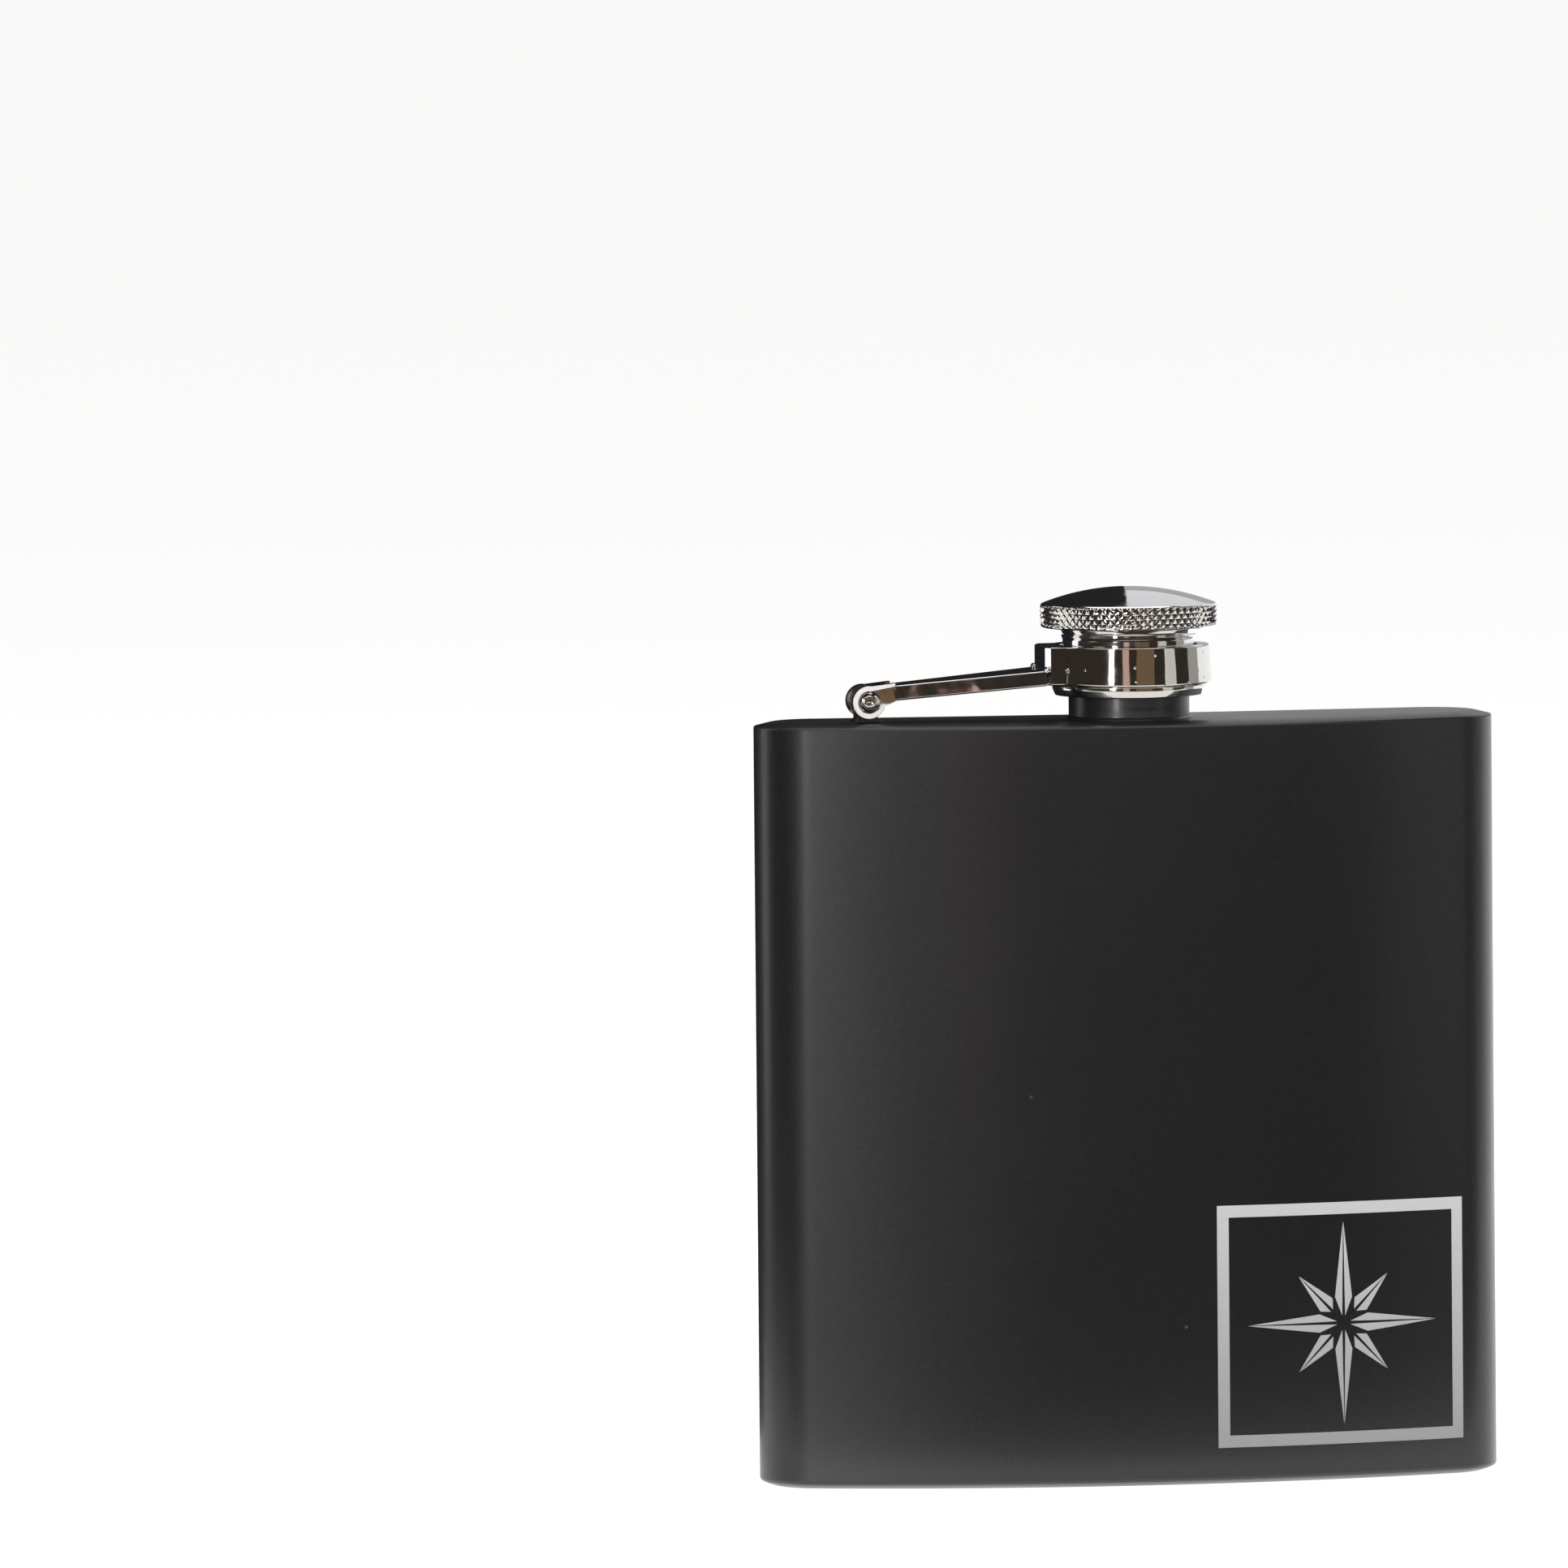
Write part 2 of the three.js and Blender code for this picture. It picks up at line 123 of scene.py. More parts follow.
def body_outline(inset):
    """The flask seen from above: shallow front, round ends, slightly hollow back."""
    down, up = -math.pi / 2, math.pi / 2
    front_end = down + front_half_angle
    back_end = up + back_half_angle
    return (
        arc(0, front_centre_y, front_radius - inset, down - front_half_angle, front_end, 120)
        + arc(end_x, end_y, end_radius - inset, front_end, back_end, 40)
        + arc(0, back_centre_y, back_radius + inset, down + back_half_angle, down - back_half_angle, 60)
        + arc(-end_x, end_y, end_radius - inset, math.pi - back_end, math.pi - front_end, 40)
    )


def soft_corners(profile, radius, steps=4, closed=True):
    """A profile whose corners are rounded, by as much as the stretches beside them allow."""
    rounded = []
    count = len(profile)
    for i, here in enumerate(profile):
        here = Vector(here)
        if not closed and i in (0, count - 1):
            rounded.append(here)
            continue
        before = Vector(profile[i - 1]) - here
        after = Vector(profile[(i + 1) % count]) - here
        reach = min(radius, before.length * 0.45, after.length * 0.45)
        start = here + before.normalized() * reach
        end = here + after.normalized() * reach
        for step in range(steps + 1):
            t = step / steps
            rounded.append(start.lerp(here, t).lerp(here.lerp(end, t), t))
    return rounded


def make_piece(name, vertices, faces, crease=50):
    """A smooth-shaded mesh object, creased only where its faces meet at a sharp angle."""
    mesh = bpy.data.meshes.new(name)
    mesh.from_pydata([tuple(v) for v in vertices], [], faces)
    mesh.validate()
    mesh.shade_smooth()
    mesh.set_sharp_from_angle(angle=math.radians(crease))
    piece = bpy.data.objects.new(name, mesh)
    bpy.context.scene.collection.objects.link(piece)
    return piece


def swept_band(name, profile):
    """A closed profile of (inset, height) points carried once round the body's outline."""
    vertices = []
    faces = []
    rows = len(profile)
    for inset, height in profile:
        vertices += [(p.x, p.y, height) for p in body_outline(inset)]
    around = len(vertices) // rows
    for row in range(rows):
        above = (row + 1) % rows
        for i in range(around):
            beside = (i + 1) % around
            low, high = row * around, above * around
            faces.append((low + i, low + beside, high + beside, high + i))
    return make_piece(name, vertices, faces)


def fit_piece(piece, node, body, slot, *finishes):
    """The piece stands for a frame node: it rides on that node's body. The slot is not used."""
    for finish in finishes:
        piece.data.materials.append(finish)
    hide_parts(node)
    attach(piece, body)


def shader(name):
    """A new material with its principled shader, its node maker and its linker."""
    material = bpy.data.materials.new(name)
    material.use_nodes = True
    tree = material.node_tree
    surface = tree.nodes["Principled BSDF"]
    return material, surface, tree.nodes.new, tree.links.new


def place_on_piece(new):
    """Coordinates fixed to the piece, in metres."""
    return new("ShaderNodeTexCoord").outputs["Object"]


def speckle(new, link, where, scale, detail=2.0, roughness=0.5):
    """Fine noise; scale is in cells a metre."""
    noise = new("ShaderNodeTexNoise")
    noise.inputs["Scale"].default_value = scale
    noise.inputs["Detail"].default_value = detail
    noise.inputs["Roughness"].default_value = roughness
    link(where, noise.inputs["Vector"])
    return noise.outputs["Fac"]


def between(new, link, value, low, high, from_low=0.0, from_high=1.0):
    """A value carried over from one range to another."""
    ranged = new("ShaderNodeMapRange")
    ranged.inputs["From Min"].default_value = from_low
    ranged.inputs["From Max"].default_value = from_high
    ranged.inputs["To Min"].default_value = low
    ranged.inputs["To Max"].default_value = high
    link(value, ranged.inputs["Value"])
    return ranged.outputs["Result"]


def shade_between(new, link, value, dark, light):
    """A colour between two, by a value from 0 to 1."""
    mix = new("ShaderNodeMix")
    mix.data_type = "RGBA"
    mix.inputs["A"].default_value = (*dark, 1)
    mix.inputs["B"].default_value = (*light, 1)
    link(value, mix.inputs["Factor"])
    return mix.outputs["Result"]


def raise_by(new, link, height, strength, distance, under=None):
    """A bump, over another one if it is given."""
    bump = new("ShaderNodeBump")
    bump.inputs["Strength"].default_value = strength
    bump.inputs["Distance"].default_value = distance
    link(height, bump.inputs["Height"])
    if under:
        link(under, bump.inputs["Normal"])
    return bump.outputs["Normal"]


def powder_coat(name, dark=(0.0060, 0.0060, 0.0065), light=(0.0132, 0.0132, 0.0142)):
    """Matte black powder coat: fine orange-peel grain, cloudy sheen and a few pale specks."""
    material, surface, new, link = shader(name)
    where = place_on_piece(new)
    grain = speckle(new, link, where, 3600, detail=3.0, roughness=0.6)
    peel = speckle(new, link, where, 900, detail=1.0)
    clouds = speckle(new, link, where, 45, detail=3.0)

    specks = new("ShaderNodeTexVoronoi")
    specks.inputs["Scale"].default_value = 210
    link(where, specks.inputs["Vector"])
    near_speck = between(new, link, specks.outputs["Distance"], 1, 0, 0.03, 0.055)
    kept = new("ShaderNodeMath")
    kept.operation = "GREATER_THAN"
    kept.inputs[1].default_value = 0.8
    picked = new("ShaderNodeSeparateColor")
    link(specks.outputs["Color"], picked.inputs["Color"])
    link(picked.outputs["Red"], kept.inputs[0])
    speck = new("ShaderNodeMath")
    speck.operation = "MULTIPLY"
    link(near_speck, speck.inputs[0])
    link(kept.outputs["Value"], speck.inputs[1])

    coat = shade_between(new, link, between(new, link, grain, 0, 1, 0.3, 0.7), dark, light)
    marked = new("ShaderNodeMix")
    marked.data_type = "RGBA"
    link(speck.outputs["Value"], marked.inputs["Factor"])
    link(coat, marked.inputs["A"])
    marked.inputs["B"].default_value = (0.06, 0.06, 0.063, 1)
    link(marked.outputs["Result"], surface.inputs["Base Color"])
    link(between(new, link, clouds, 0.38, 0.46, 0.3, 0.7), surface.inputs["Roughness"])
    surface.inputs["Specular IOR Level"].default_value = 0.45
    surface.inputs["Specular Tint"].default_value = (0.93, 0.94, 1, 1)
    surface.inputs["Coat Weight"].default_value = 0.4
    surface.inputs["Coat Roughness"].default_value = 0.22
    bumped = raise_by(new, link, peel, 0.25, 0.00006)
    link(raise_by(new, link, grain, 0.45, 0.00003, under=bumped), surface.inputs["Normal"])
    return material


black_coat = powder_coat("black_powder_coat")


def wrapped_wall():
    """The wall, with the seam's low ground ridge down the middle of its right end."""
    outer_low, outer_high = wall_low.z, wall_high.z
    profile = [(0, outer_low)]
    profile += [(0, outer_high)]
    profile += [(wall_thickness, outer_high), (wall_thickness, outer_low)]
    wall = swept_band("wrapped_wall", profile)
    seam_half_width = 0.45 * mm
    seam_height = 0.04 * mm
    for vertex in wall.data.vertices:
        off_seam = abs(vertex.co.y - end_y) / seam_half_width
        if vertex.co.x > end_x + end_radius * 0.97 and off_seam < 1:
            vertex.co.x += seam_height * (1 - off_seam**2)
    return wall


fit_piece(wrapped_wall(), "body_wall", "flask", "body_coat", black_coat)


# ---- Shoulder plate ----
# A drawn plate with a bevelled rim, welded to the wall and ground smooth before coating.
# Its lip goes down inside the wall, and its flat top has the neck's hole.

plate_low, plate_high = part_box("shoulder_plate")
shoulder_height = plate_high.z
bevel_width = 2.3 * mm
lip_inset = wall_thickness + 0.05 * mm
lip_thickness = 0.6 * mm
neck_low, neck_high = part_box("neck_tube")
neck_axis = Vector(((neck_low.x + neck_high.x) / 2, (neck_low.y + neck_high.y) / 2))
stub_radius = 7.5 * mm


def flat_between(bm, rim, hole, height, facing_up):
    """Fills the flat between a rim loop and, if there is one, a hole's loop."""
    loops = [rim] + ([hole] if hole else [])
    edges = []
    for loop in loops:
        corners = [bm.verts.new((p.x, p.y, height)) for p in loop]
        edges += [bm.edges.new((corners[i - 1], corners[i])) for i in range(len(corners))]
    made = bmesh.ops.triangle_fill(bm, edges=edges, use_beauty=True, use_dissolve=False)
    filled = [f for f in made["geom"] if isinstance(f, bmesh.types.BMFace)]
    bmesh.ops.recalc_face_normals(bm, faces=filled)
    if filled and (filled[0].normal.z > 0) != facing_up:
        bmesh.ops.reverse_faces(bm, faces=filled)


def circle(centre, radius, steps=160):
    return [
        centre + Vector((math.cos(2 * math.pi * i / steps), math.sin(2 * math.pi * i / steps))) * radius
        for i in range(steps)
    ]


def piece_from(bm, name, crease=None):
    """A smooth-shaded object from a bmesh, creased at sharp angles if a crease is given."""
    mesh = bpy.data.meshes.new(name)
    bm.to_mesh(mesh)
    bm.free()
    mesh.shade_smooth()
    if crease:
        mesh.set_sharp_from_angle(angle=math.radians(crease))
    piece = bpy.data.objects.new(name, mesh)
    bpy.context.scene.collection.objects.link(piece)
    return piece


def drawn_plate(name, profile, outer_flat, inner_flat, outer_up, hole_radius=0.0):
    """A pan: a swept rim from its outer flat, round its lip, to its inner flat."""
    bm = bmesh.new()
    rows = []
    for inset, height in profile:
        rows.append([bm.verts.new((p.x, p.y, height)) for p in body_outline(inset)])
    for low, high in zip(rows, rows[1:]):
        for i in range(len(low)):
            j = (i + 1) % len(low)
            bm.faces.new((low[i], low[j], high[j], high[i]))
    hole = circle(neck_axis, hole_radius) if hole_radius else None
    for (inset, height), up in ((outer_flat, outer_up), (inner_flat, not outer_up)):
        flat_between(bm, body_outline(inset), hole, height, up)
    if hole:
        low_height, high_height = sorted((outer_flat[1], inner_flat[1]))
        low = [bm.verts.new((p.x, p.y, low_height)) for p in hole]
        high = [bm.verts.new((p.x, p.y, high_height)) for p in hole]
        for i in range(len(hole)):
            j = (i + 1) % len(hole)
            bm.faces.new((low[j], low[i], high[i], high[j]))
    bmesh.ops.remove_doubles(bm, verts=bm.verts, dist=1e-7)
    bmesh.ops.recalc_face_normals(bm, faces=bm.faces)
    return piece_from(bm, name, crease=40)


def shoulder_plate():
    rim = plate_high.z - 0.75 * mm
    outer_flat = (bevel_width + 0.3 * mm, plate_high.z)
    inner_flat = (bevel_width + 0.3 * mm, plate_high.z - wall_thickness)
    lip = [
        inner_flat,
        (lip_inset + lip_thickness, rim - lip_thickness),
        (lip_inset + lip_thickness, plate_low.z),
        (lip_inset, plate_low.z),
        (lip_inset, rim),
        (0, rim),
        (0.03 * mm, rim + 0.14 * mm),
        (0.16 * mm, rim + 0.25 * mm),
        (bevel_width - 0.35 * mm, plate_high.z - 0.06 * mm),
        (bevel_width - 0.05 * mm, plate_high.z - 0.01 * mm),
        outer_flat,
    ]
    return drawn_plate("drawn_shoulder", lip, outer_flat, inner_flat, True, stub_radius + 0.05 * mm)


fit_piece(shoulder_plate(), "shoulder_plate", "flask", "shoulder_coat", black_coat)


# ---- Base plate ----
# The same drawn plate turned over, without a hole. The flask stands on its flat.

base_low, base_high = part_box("base_plate")


def base_plate():
    rim = base_low.z + 1.05 * mm
    outer_flat = (bevel_width + 0.3 * mm, base_low.z)
    inner_flat = (bevel_width + 0.3 * mm, base_low.z + wall_thickness)
    lip = [
        outer_flat,
        (bevel_width - 0.05 * mm, base_low.z + 0.02 * mm),
        (bevel_width - 0.5 * mm, base_low.z + 0.1 * mm),
        (1.0 * mm, base_low.z + 0.34 * mm),
        (0.4 * mm, base_low.z + 0.58 * mm),
        (0.1 * mm, base_low.z + 0.8 * mm),
        (0, rim),
        (lip_inset, rim),
        (lip_inset, base_high.z),
        (lip_inset + lip_thickness, base_high.z),
        (lip_inset + lip_thickness, rim + lip_thickness),
        inner_flat,
    ]
    return drawn_plate("drawn_base", lip, outer_flat, inner_flat, False)


fit_piece(base_plate(), "base_plate", "flask", "base_coat", black_coat)


# ---- Mark on the front ----
# A square border round an eight-pointed compass star, laser-marked through the coat.
# It shows the brushed steel underneath, flush with the coat.

mark_left = 8.7 * mm
mark_right = 41.7 * mm
mark_bottom = 4.65 * mm
mark_top = 34.75 * mm
mark_stroke = 1.5 * mm
mark_proud = 0.03 * mm
mark_depth = 0.05 * mm


def add_trim(piece, body, finish):
    """A piece with no frame node of its own: it rides on a body."""
    piece.data.materials.append(finish)
    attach(piece, body)


def on_front(along, height, proud):
    """A point on the front, by its distance round the front from the middle."""
    angle = along / front_radius
    radius = front_radius + proud
    return Vector((math.sin(angle) * radius, front_centre_y - math.cos(angle) * radius, height))


def marked_steel():
    """Laser-bared steel: satin, finely lined across, with a painted highlight that makes it brighter towards
    the top.
    """
    material, surface, new, link = shader("laser_bared_steel")
    where = place_on_piece(new)
    squeezed = new("ShaderNodeMapping")
    squeezed.inputs["Scale"].default_value = (0.04, 0.04, 1)
    link(where, squeezed.inputs["Vector"])
    lines = speckle(new, link, squeezed.outputs["Vector"], 5200, detail=1.0)
    grain = speckle(new, link, where, 2600)
    split = new("ShaderNodeSeparateXYZ")
    link(where, split.inputs["Vector"])
    # Painted light: the steel's colour is made lighter towards the top of the mark, standing in for the light
    # falling on it from above.
    painted_light_by_height = between(new, link, split.outputs["Z"], 0, 1, mark_bottom, mark_top)
    tone = shade_between(new, link, painted_light_by_height, (0.23, 0.23, 0.24), (0.60, 0.60, 0.61))
    grain_over_painted_light = new("ShaderNodeMix")
    grain_over_painted_light.data_type = "RGBA"
    grain_over_painted_light.blend_type = "MULTIPLY"
    grain_over_painted_light.inputs["Factor"].default_value = 0.35
    link(tone, grain_over_painted_light.inputs["A"])
    link(shade_between(new, link, grain, (0.7, 0.7, 0.7), (1, 1, 1)), grain_over_painted_light.inputs["B"])
    link(grain_over_painted_light.outputs["Result"], surface.inputs["Base Color"])
    surface.inputs["Metallic"].default_value = 0.0
    link(between(new, link, lines, 0.42, 0.62), surface.inputs["Roughness"])
    link(raise_by(new, link, lines, 0.3, 0.00002), surface.inputs["Normal"])
    return material


def star_facets(middle_x, middle_y):
    """The star's points, each split down its middle by a line of bare coat."""
    facets = []
    split = 0.2 * mm
    for point in range(8):
        angle = math.pi / 2 + point * math.pi / 4
        long_point = point % 2 == 0
        reach = (12.6 if long_point else 8.4) * mm
        waist = 3.5 * mm
        start = 0.9 * mm if long_point else 2.2 * mm
        ahead = Vector((math.cos(angle), math.sin(angle)))
        middle = Vector((middle_x, middle_y))
        for side in (-1, 1):
            beside = Vector((-ahead.y, ahead.x)) * side
            turn = side * math.pi / 8
            hip = Vector((math.cos(angle + turn), math.sin(angle + turn))) * waist
            inner = middle + ahead * start + beside * split
            tip = middle + ahead * reach + beside * 0.02 * mm
            near = middle + hip - beside * split
            facets.append([tuple(inner), tuple(tip), tuple(near)])
    return facets


def front_mark():
    """The mark's flat shapes, cut into narrow strips and laid round the front."""
    left, right, bottom, top, line = mark_left, mark_right, mark_bottom, mark_top, mark_stroke
    shapes = [
        [(left, bottom), (right, bottom), (right, bottom + line), (left, bottom + line)],
        [(left, top - line), (right, top - line), (right, top), (left, top)],
        [(left, bottom + line), (left + line, bottom + line), (left + line, top - line), (left, top - line)],
        [
            (right - line, bottom + line),
            (right, bottom + line),
            (right, top - line),
            (right - line, top - line),
        ],
    ]
    middle = ((left + right) / 2, (bottom + top) / 2)
    shapes += star_facets(*middle)
    bm = bmesh.new()
    for shape in shapes:
        bm.faces.new([bm.verts.new((x, height, 0)) for x, height in shape])
    bmesh.ops.remove_doubles(bm, verts=bm.verts, dist=1e-7)
    strip = 0.6 * mm
    cut = left + strip
    while cut < right:
        everything = bm.verts[:] + bm.edges[:] + bm.faces[:]
        bmesh.ops.bisect_plane(bm, geom=everything, plane_co=(cut, 0, 0), plane_no=(1, 0, 0))
        cut += strip
    bmesh.ops.recalc_face_normals(bm, faces=bm.faces)
    outer = bm.faces[:]
    if outer[0].normal.z < 0:
        bmesh.ops.reverse_faces(bm, faces=outer)
    flat = {vertex: vertex.co.copy() for vertex in bm.verts}
    raised = bmesh.ops.extrude_face_region(bm, geom=outer)
    lifted = {v for v in raised["geom"] if isinstance(v, bmesh.types.BMVert)}
    for vertex in bm.verts:
        along, height, _ = vertex.co if vertex not in flat else flat[vertex]
        vertex.co = on_front(along, height, mark_proud if vertex in lifted else -mark_depth)
    bmesh.ops.recalc_face_normals(bm, faces=bm.faces)
    add_trim(piece_from(bm, "front_mark", crease=30), "flask", marked_steel())


front_mark()


# ---- Neck ----
# A short turned tube, put in from below and welded under the shoulder.
# The stub that shows below the cap is coated; the rolled thread above it is bare steel.

thread_pitch = 1.5 * mm
neck_height = neck_high.z - shoulder_height


def turned(name, profile, steps=144, crease=50):
    """A closed profile of (radius, height) points, in millimetres above the shoulder, turned."""
    vertices = []
    faces = []
    rows = len(profile)
    for i in range(steps):
        angle = 2 * math.pi * i / steps
        for radius, height in profile:
            x = neck_axis.x + radius * mm * math.cos(angle)
            y = neck_axis.y + radius * mm * math.sin(angle)
            vertices.append((x, y, shoulder_height + height * mm))
    for i in range(steps):
        beside = (i + 1) % steps
        for row in range(rows):
            above = (row + 1) % rows
            corners = (i * rows + row, beside * rows + row, beside * rows + above, i * rows + above)
            faces.append(corners)
    piece = make_piece(name, vertices, faces, crease)
    bm = bmesh.new()
    bm.from_mesh(piece.data)
    bmesh.ops.remove_doubles(bm, verts=bm.verts, dist=2e-7)
    bmesh.ops.dissolve_degenerate(bm, edges=bm.edges, dist=2e-7)
    bmesh.ops.recalc_face_normals(bm, faces=bm.faces)
    bm.to_mesh(piece.data)
    bm.free()
    piece.data.set_sharp_from_angle(angle=math.radians(crease))
    return piece


def helical_ridge(section, bottom, turns, steps_a_turn=96, fade=0.12):
    """Vertices and faces of a thread ridge that fades in and out at its ends."""
    vertices = []
    faces = []
    steps = round(turns * steps_a_turn)
    root = section[0][0]
    for step in range(steps + 1):
        angle = 2 * math.pi * step / steps_a_turn
        part = min(step, steps - step) / steps
        full = min(1, part / fade)
        for radius, height in section:
            reach = (root + (radius - root) * full) * mm
            x = neck_axis.x + reach * math.cos(angle)
            y = neck_axis.y + reach * math.sin(angle)
            rise = shoulder_height + bottom * mm + thread_pitch * step / steps_a_turn
            vertices.append((x, y, rise + height * mm * full))
    corners = len(section)
    for step in range(steps):
        for corner in range(corners):
            here = step * corners + corner
            beside = step * corners + (corner + 1) % corners
            faces.append((here, beside, beside + corners, here + corners))
    faces.append(tuple(reversed(range(corners))))
    faces.append(tuple(range(steps * corners, steps * corners + corners)))
    return vertices, faces


def add_to_piece(piece, vertices, faces, crease=50):
    """Adds a closed body to a piece's mesh."""
    bm = bmesh.new()
    bm.from_mesh(piece.data)
    added = [bm.verts.new(v) for v in vertices]
    new_faces = [bm.faces.new([added[i] for i in face]) for face in faces]
    bmesh.ops.recalc_face_normals(bm, faces=new_faces)
    bm.to_mesh(piece.data)
    bm.free()
    piece.data.shade_smooth()
    piece.data.set_sharp_from_angle(angle=math.radians(crease))


def bare_steel():
    """Turned stainless steel: satin, with fine rings round the axis."""
    material, surface, new, link = shader("bare_stainless")
    where = place_on_piece(new)
    squeezed = new("ShaderNodeMapping")
    squeezed.inputs["Scale"].default_value = (0.05, 0.05, 1)
    link(where, squeezed.inputs["Vector"])
    rings = speckle(new, link, squeezed.outputs["Vector"], 9000)
    smudges = speckle(new, link, where, 260, detail=3.0)
    tone = shade_between(new, link, smudges, (0.50, 0.49, 0.48), (0.62, 0.61, 0.60))
    link(tone, surface.inputs["Base Color"])
    surface.inputs["Metallic"].default_value = 1
    link(between(new, link, rings, 0.22, 0.38), surface.inputs["Roughness"])
    link(raise_by(new, link, rings, 0.2, 0.00002), surface.inputs["Normal"])
    return material


def neck():
    flange, stub, root, bore = 7.9, 7.5, 6.0, 5.4
    top = neck_height / mm
    profile = soft_corners(
        [
            (bore, -1.5),
            (flange, -1.5),
            (flange, -0.7),
            (stub, -0.7),
            (stub, 2.9),
            (stub - 0.4, 3.3),
            (root, 3.3),
            (root, top - 0.7),
            (root + 0.1, top - 0.35),
            (root - 0.1, top),
            (bore + 0.1, top),
            (bore, top - 0.2),
        ],
        0.15,
    )
    tube = turned("threaded_neck", profile)
    ridge = [(root - 0.1, -0.5), (6.4, -0.2), (6.5, 0), (6.4, 0.2), (root - 0.1, 0.5)]
    add_to_piece(tube, *helical_ridge(ridge, 4.2, 3))
    fit_piece(tube, "neck_tube", "flask", "neck_coat", black_coat, bare_steel())
    coated_to = shoulder_height + 3.2 * mm
    for face in tube.data.polygons:
        middle = face.center
        from_axis = math.hypot(middle.x - neck_axis.x, middle.y - neck_axis.y)
        face.material_index = 0 if middle.z < coated_to and from_axis > 7.0 * mm else 1
    weld = soft_corners([(stub - 0.05, 0), (stub + 0.35, 0), (stub + 0.02, 0.35), (stub - 0.05, 0.35)], 0.1)
    add_trim(turned("neck_weld", weld), "flask", black_coat)


neck()


# ---- Hinge bracket and pin ----
# A small coated barrel on a foot is welded to the shoulder beside the neck.
# A bright pin goes through it and through the arm's knuckles, riveted over at both ends.

pin_low, pin_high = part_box("hinge_pin")
hinge_middle = (pin_low + pin_high) / 2
pin_radius = 0.65


def face_outward(piece, join=0.0):
    """Turns a closed mesh's faces outward, after joining corners that coincide."""
    bm = bmesh.new()
    bm.from_mesh(piece.data)
    if join:
        bmesh.ops.remove_doubles(bm, verts=bm.verts, dist=join)
    bmesh.ops.recalc_face_normals(bm, faces=bm.faces)
    bm.to_mesh(piece.data)
    bm.free()


def across(name, outline, half_width, crease=35):
    """A flat outline of (x, z) points in millimetres from the pin, given a width along the pin."""
    vertices = []
    count = len(outline)
    for side in (-half_width, half_width):
        for x, z in outline:
            vertices.append(hinge_middle + Vector((x, side, z)) * mm)
    faces = [tuple(range(count)), tuple(reversed(range(count, 2 * count)))]
    for i in range(count):
        j = (i + 1) % count
        faces.append((j, i, count + i, count + j))
    piece = make_piece(name, vertices, faces, crease)
    face_outward(piece)
    return piece


def round_edges(piece, width, segments=3, angle=35):
    """Breaks the piece's sharp edges, as tumbling and plating do."""
    bevel = piece.modifiers.new("broken_edges", "BEVEL")
    bevel.width = width * mm
    bevel.segments = segments
    bevel.limit_method = "ANGLE"
    bevel.angle_limit = math.radians(angle)
    bevel.harden_normals = True
    weighted = piece.modifiers.new("even_shading", "WEIGHTED_NORMAL")
    weighted.keep_sharp = True


def shape_with(piece, tool, operation):
    """Cuts a tool out of a piece, or joins it on, and uses the tool up."""
    change = piece.modifiers.new("cut", "BOOLEAN")
    change.operation = operation
    change.solver = "EXACT"
    change.object = tool
    depsgraph = bpy.context.evaluated_depsgraph_get()
    shaped = bpy.data.meshes.new_from_object(piece.evaluated_get(depsgraph))
    piece.modifiers.clear()
    piece.data = shaped
    bpy.data.objects.remove(tool)


def pin_cylinder(name, radius, half_width, steps=72):
    """A round bar about the hinge pin's axis."""
    outline = [
        (radius * math.cos(2 * math.pi * i / steps), radius * math.sin(2 * math.pi * i / steps))
        for i in range(steps)
    ]
    return across(name, outline, half_width)


def hinge_bracket():
    barrel, foot, spread = 1.7, 1.3, 0.5
    down = (hinge_middle.z - shoulder_height) / mm
    start = -math.acos(foot / barrel)
    end = math.pi - start
    outline = [(-foot - spread, -down), (foot + spread, -down), (foot, spread - down)]
    steps = 40
    for step in range(steps + 1):
        angle = start + (end - start) * step / steps
        outline.append((barrel * math.cos(angle), barrel * math.sin(angle)))
    outline.append((-foot, spread - down))
    bracket = across("welded_bracket", outline, 1.5)
    shape_with(bracket, pin_cylinder("pin_hole", pin_radius + 0.12, 3), "DIFFERENCE")
    round_edges(bracket, 0.12)
    fit_piece(bracket, "hinge_bracket", "flask", "bracket_coat", black_coat)


hinge_bracket()


def bright_plate(name, pits=0.0, shade=0.80, haze=(0.035, 0.11), waves=0.00002):
    """Bright plating: mirror-like with a faint haze, light wear and, where cast, small pits."""
    material, surface, new, link = shader(name)
    where = place_on_piece(new)
    wear = speckle(new, link, where, 420, detail=4.0, roughness=0.6)
    ripple = speckle(new, link, where, 700, detail=1.0)
    tone = shade_between(new, link, wear, (shade * 0.92, shade * 0.91, shade * 0.90), (shade, shade, shade))
    link(tone, surface.inputs["Base Color"])
    surface.inputs["Metallic"].default_value = 1
    link(between(new, link, wear, *haze, 0.3, 0.75), surface.inputs["Roughness"])
    normal = raise_by(new, link, ripple, 0.06, 0.00004)
    long_waves = speckle(new, link, where, 240, detail=1.0)
    normal = raise_by(new, link, long_waves, 1.0, waves, under=normal)
    if pits:
        cells = new("ShaderNodeTexVoronoi")
        cells.inputs["Scale"].default_value = 850
        link(where, cells.inputs["Vector"])
        picked = new("ShaderNodeSeparateColor")
        link(cells.outputs["Color"], picked.inputs["Color"])
        chosen = new("ShaderNodeMath")
        chosen.operation = "LESS_THAN"
        chosen.inputs[1].default_value = pits
        link(picked.outputs["Red"], chosen.inputs[0])
        pit = new("ShaderNodeMath")
        pit.operation = "MULTIPLY"
        link(between(new, link, cells.outputs["Distance"], 1, 0, 0.04, 0.15), pit.inputs[0])
        link(chosen.outputs["Value"], pit.inputs[1])
        normal = raise_by(new, link, pit.outputs["Value"], 1.0, 0.00012, under=normal)
    link(normal, surface.inputs["Normal"])
    return material


arm_plate = bright_plate("arm_plating", waves=0.00012)


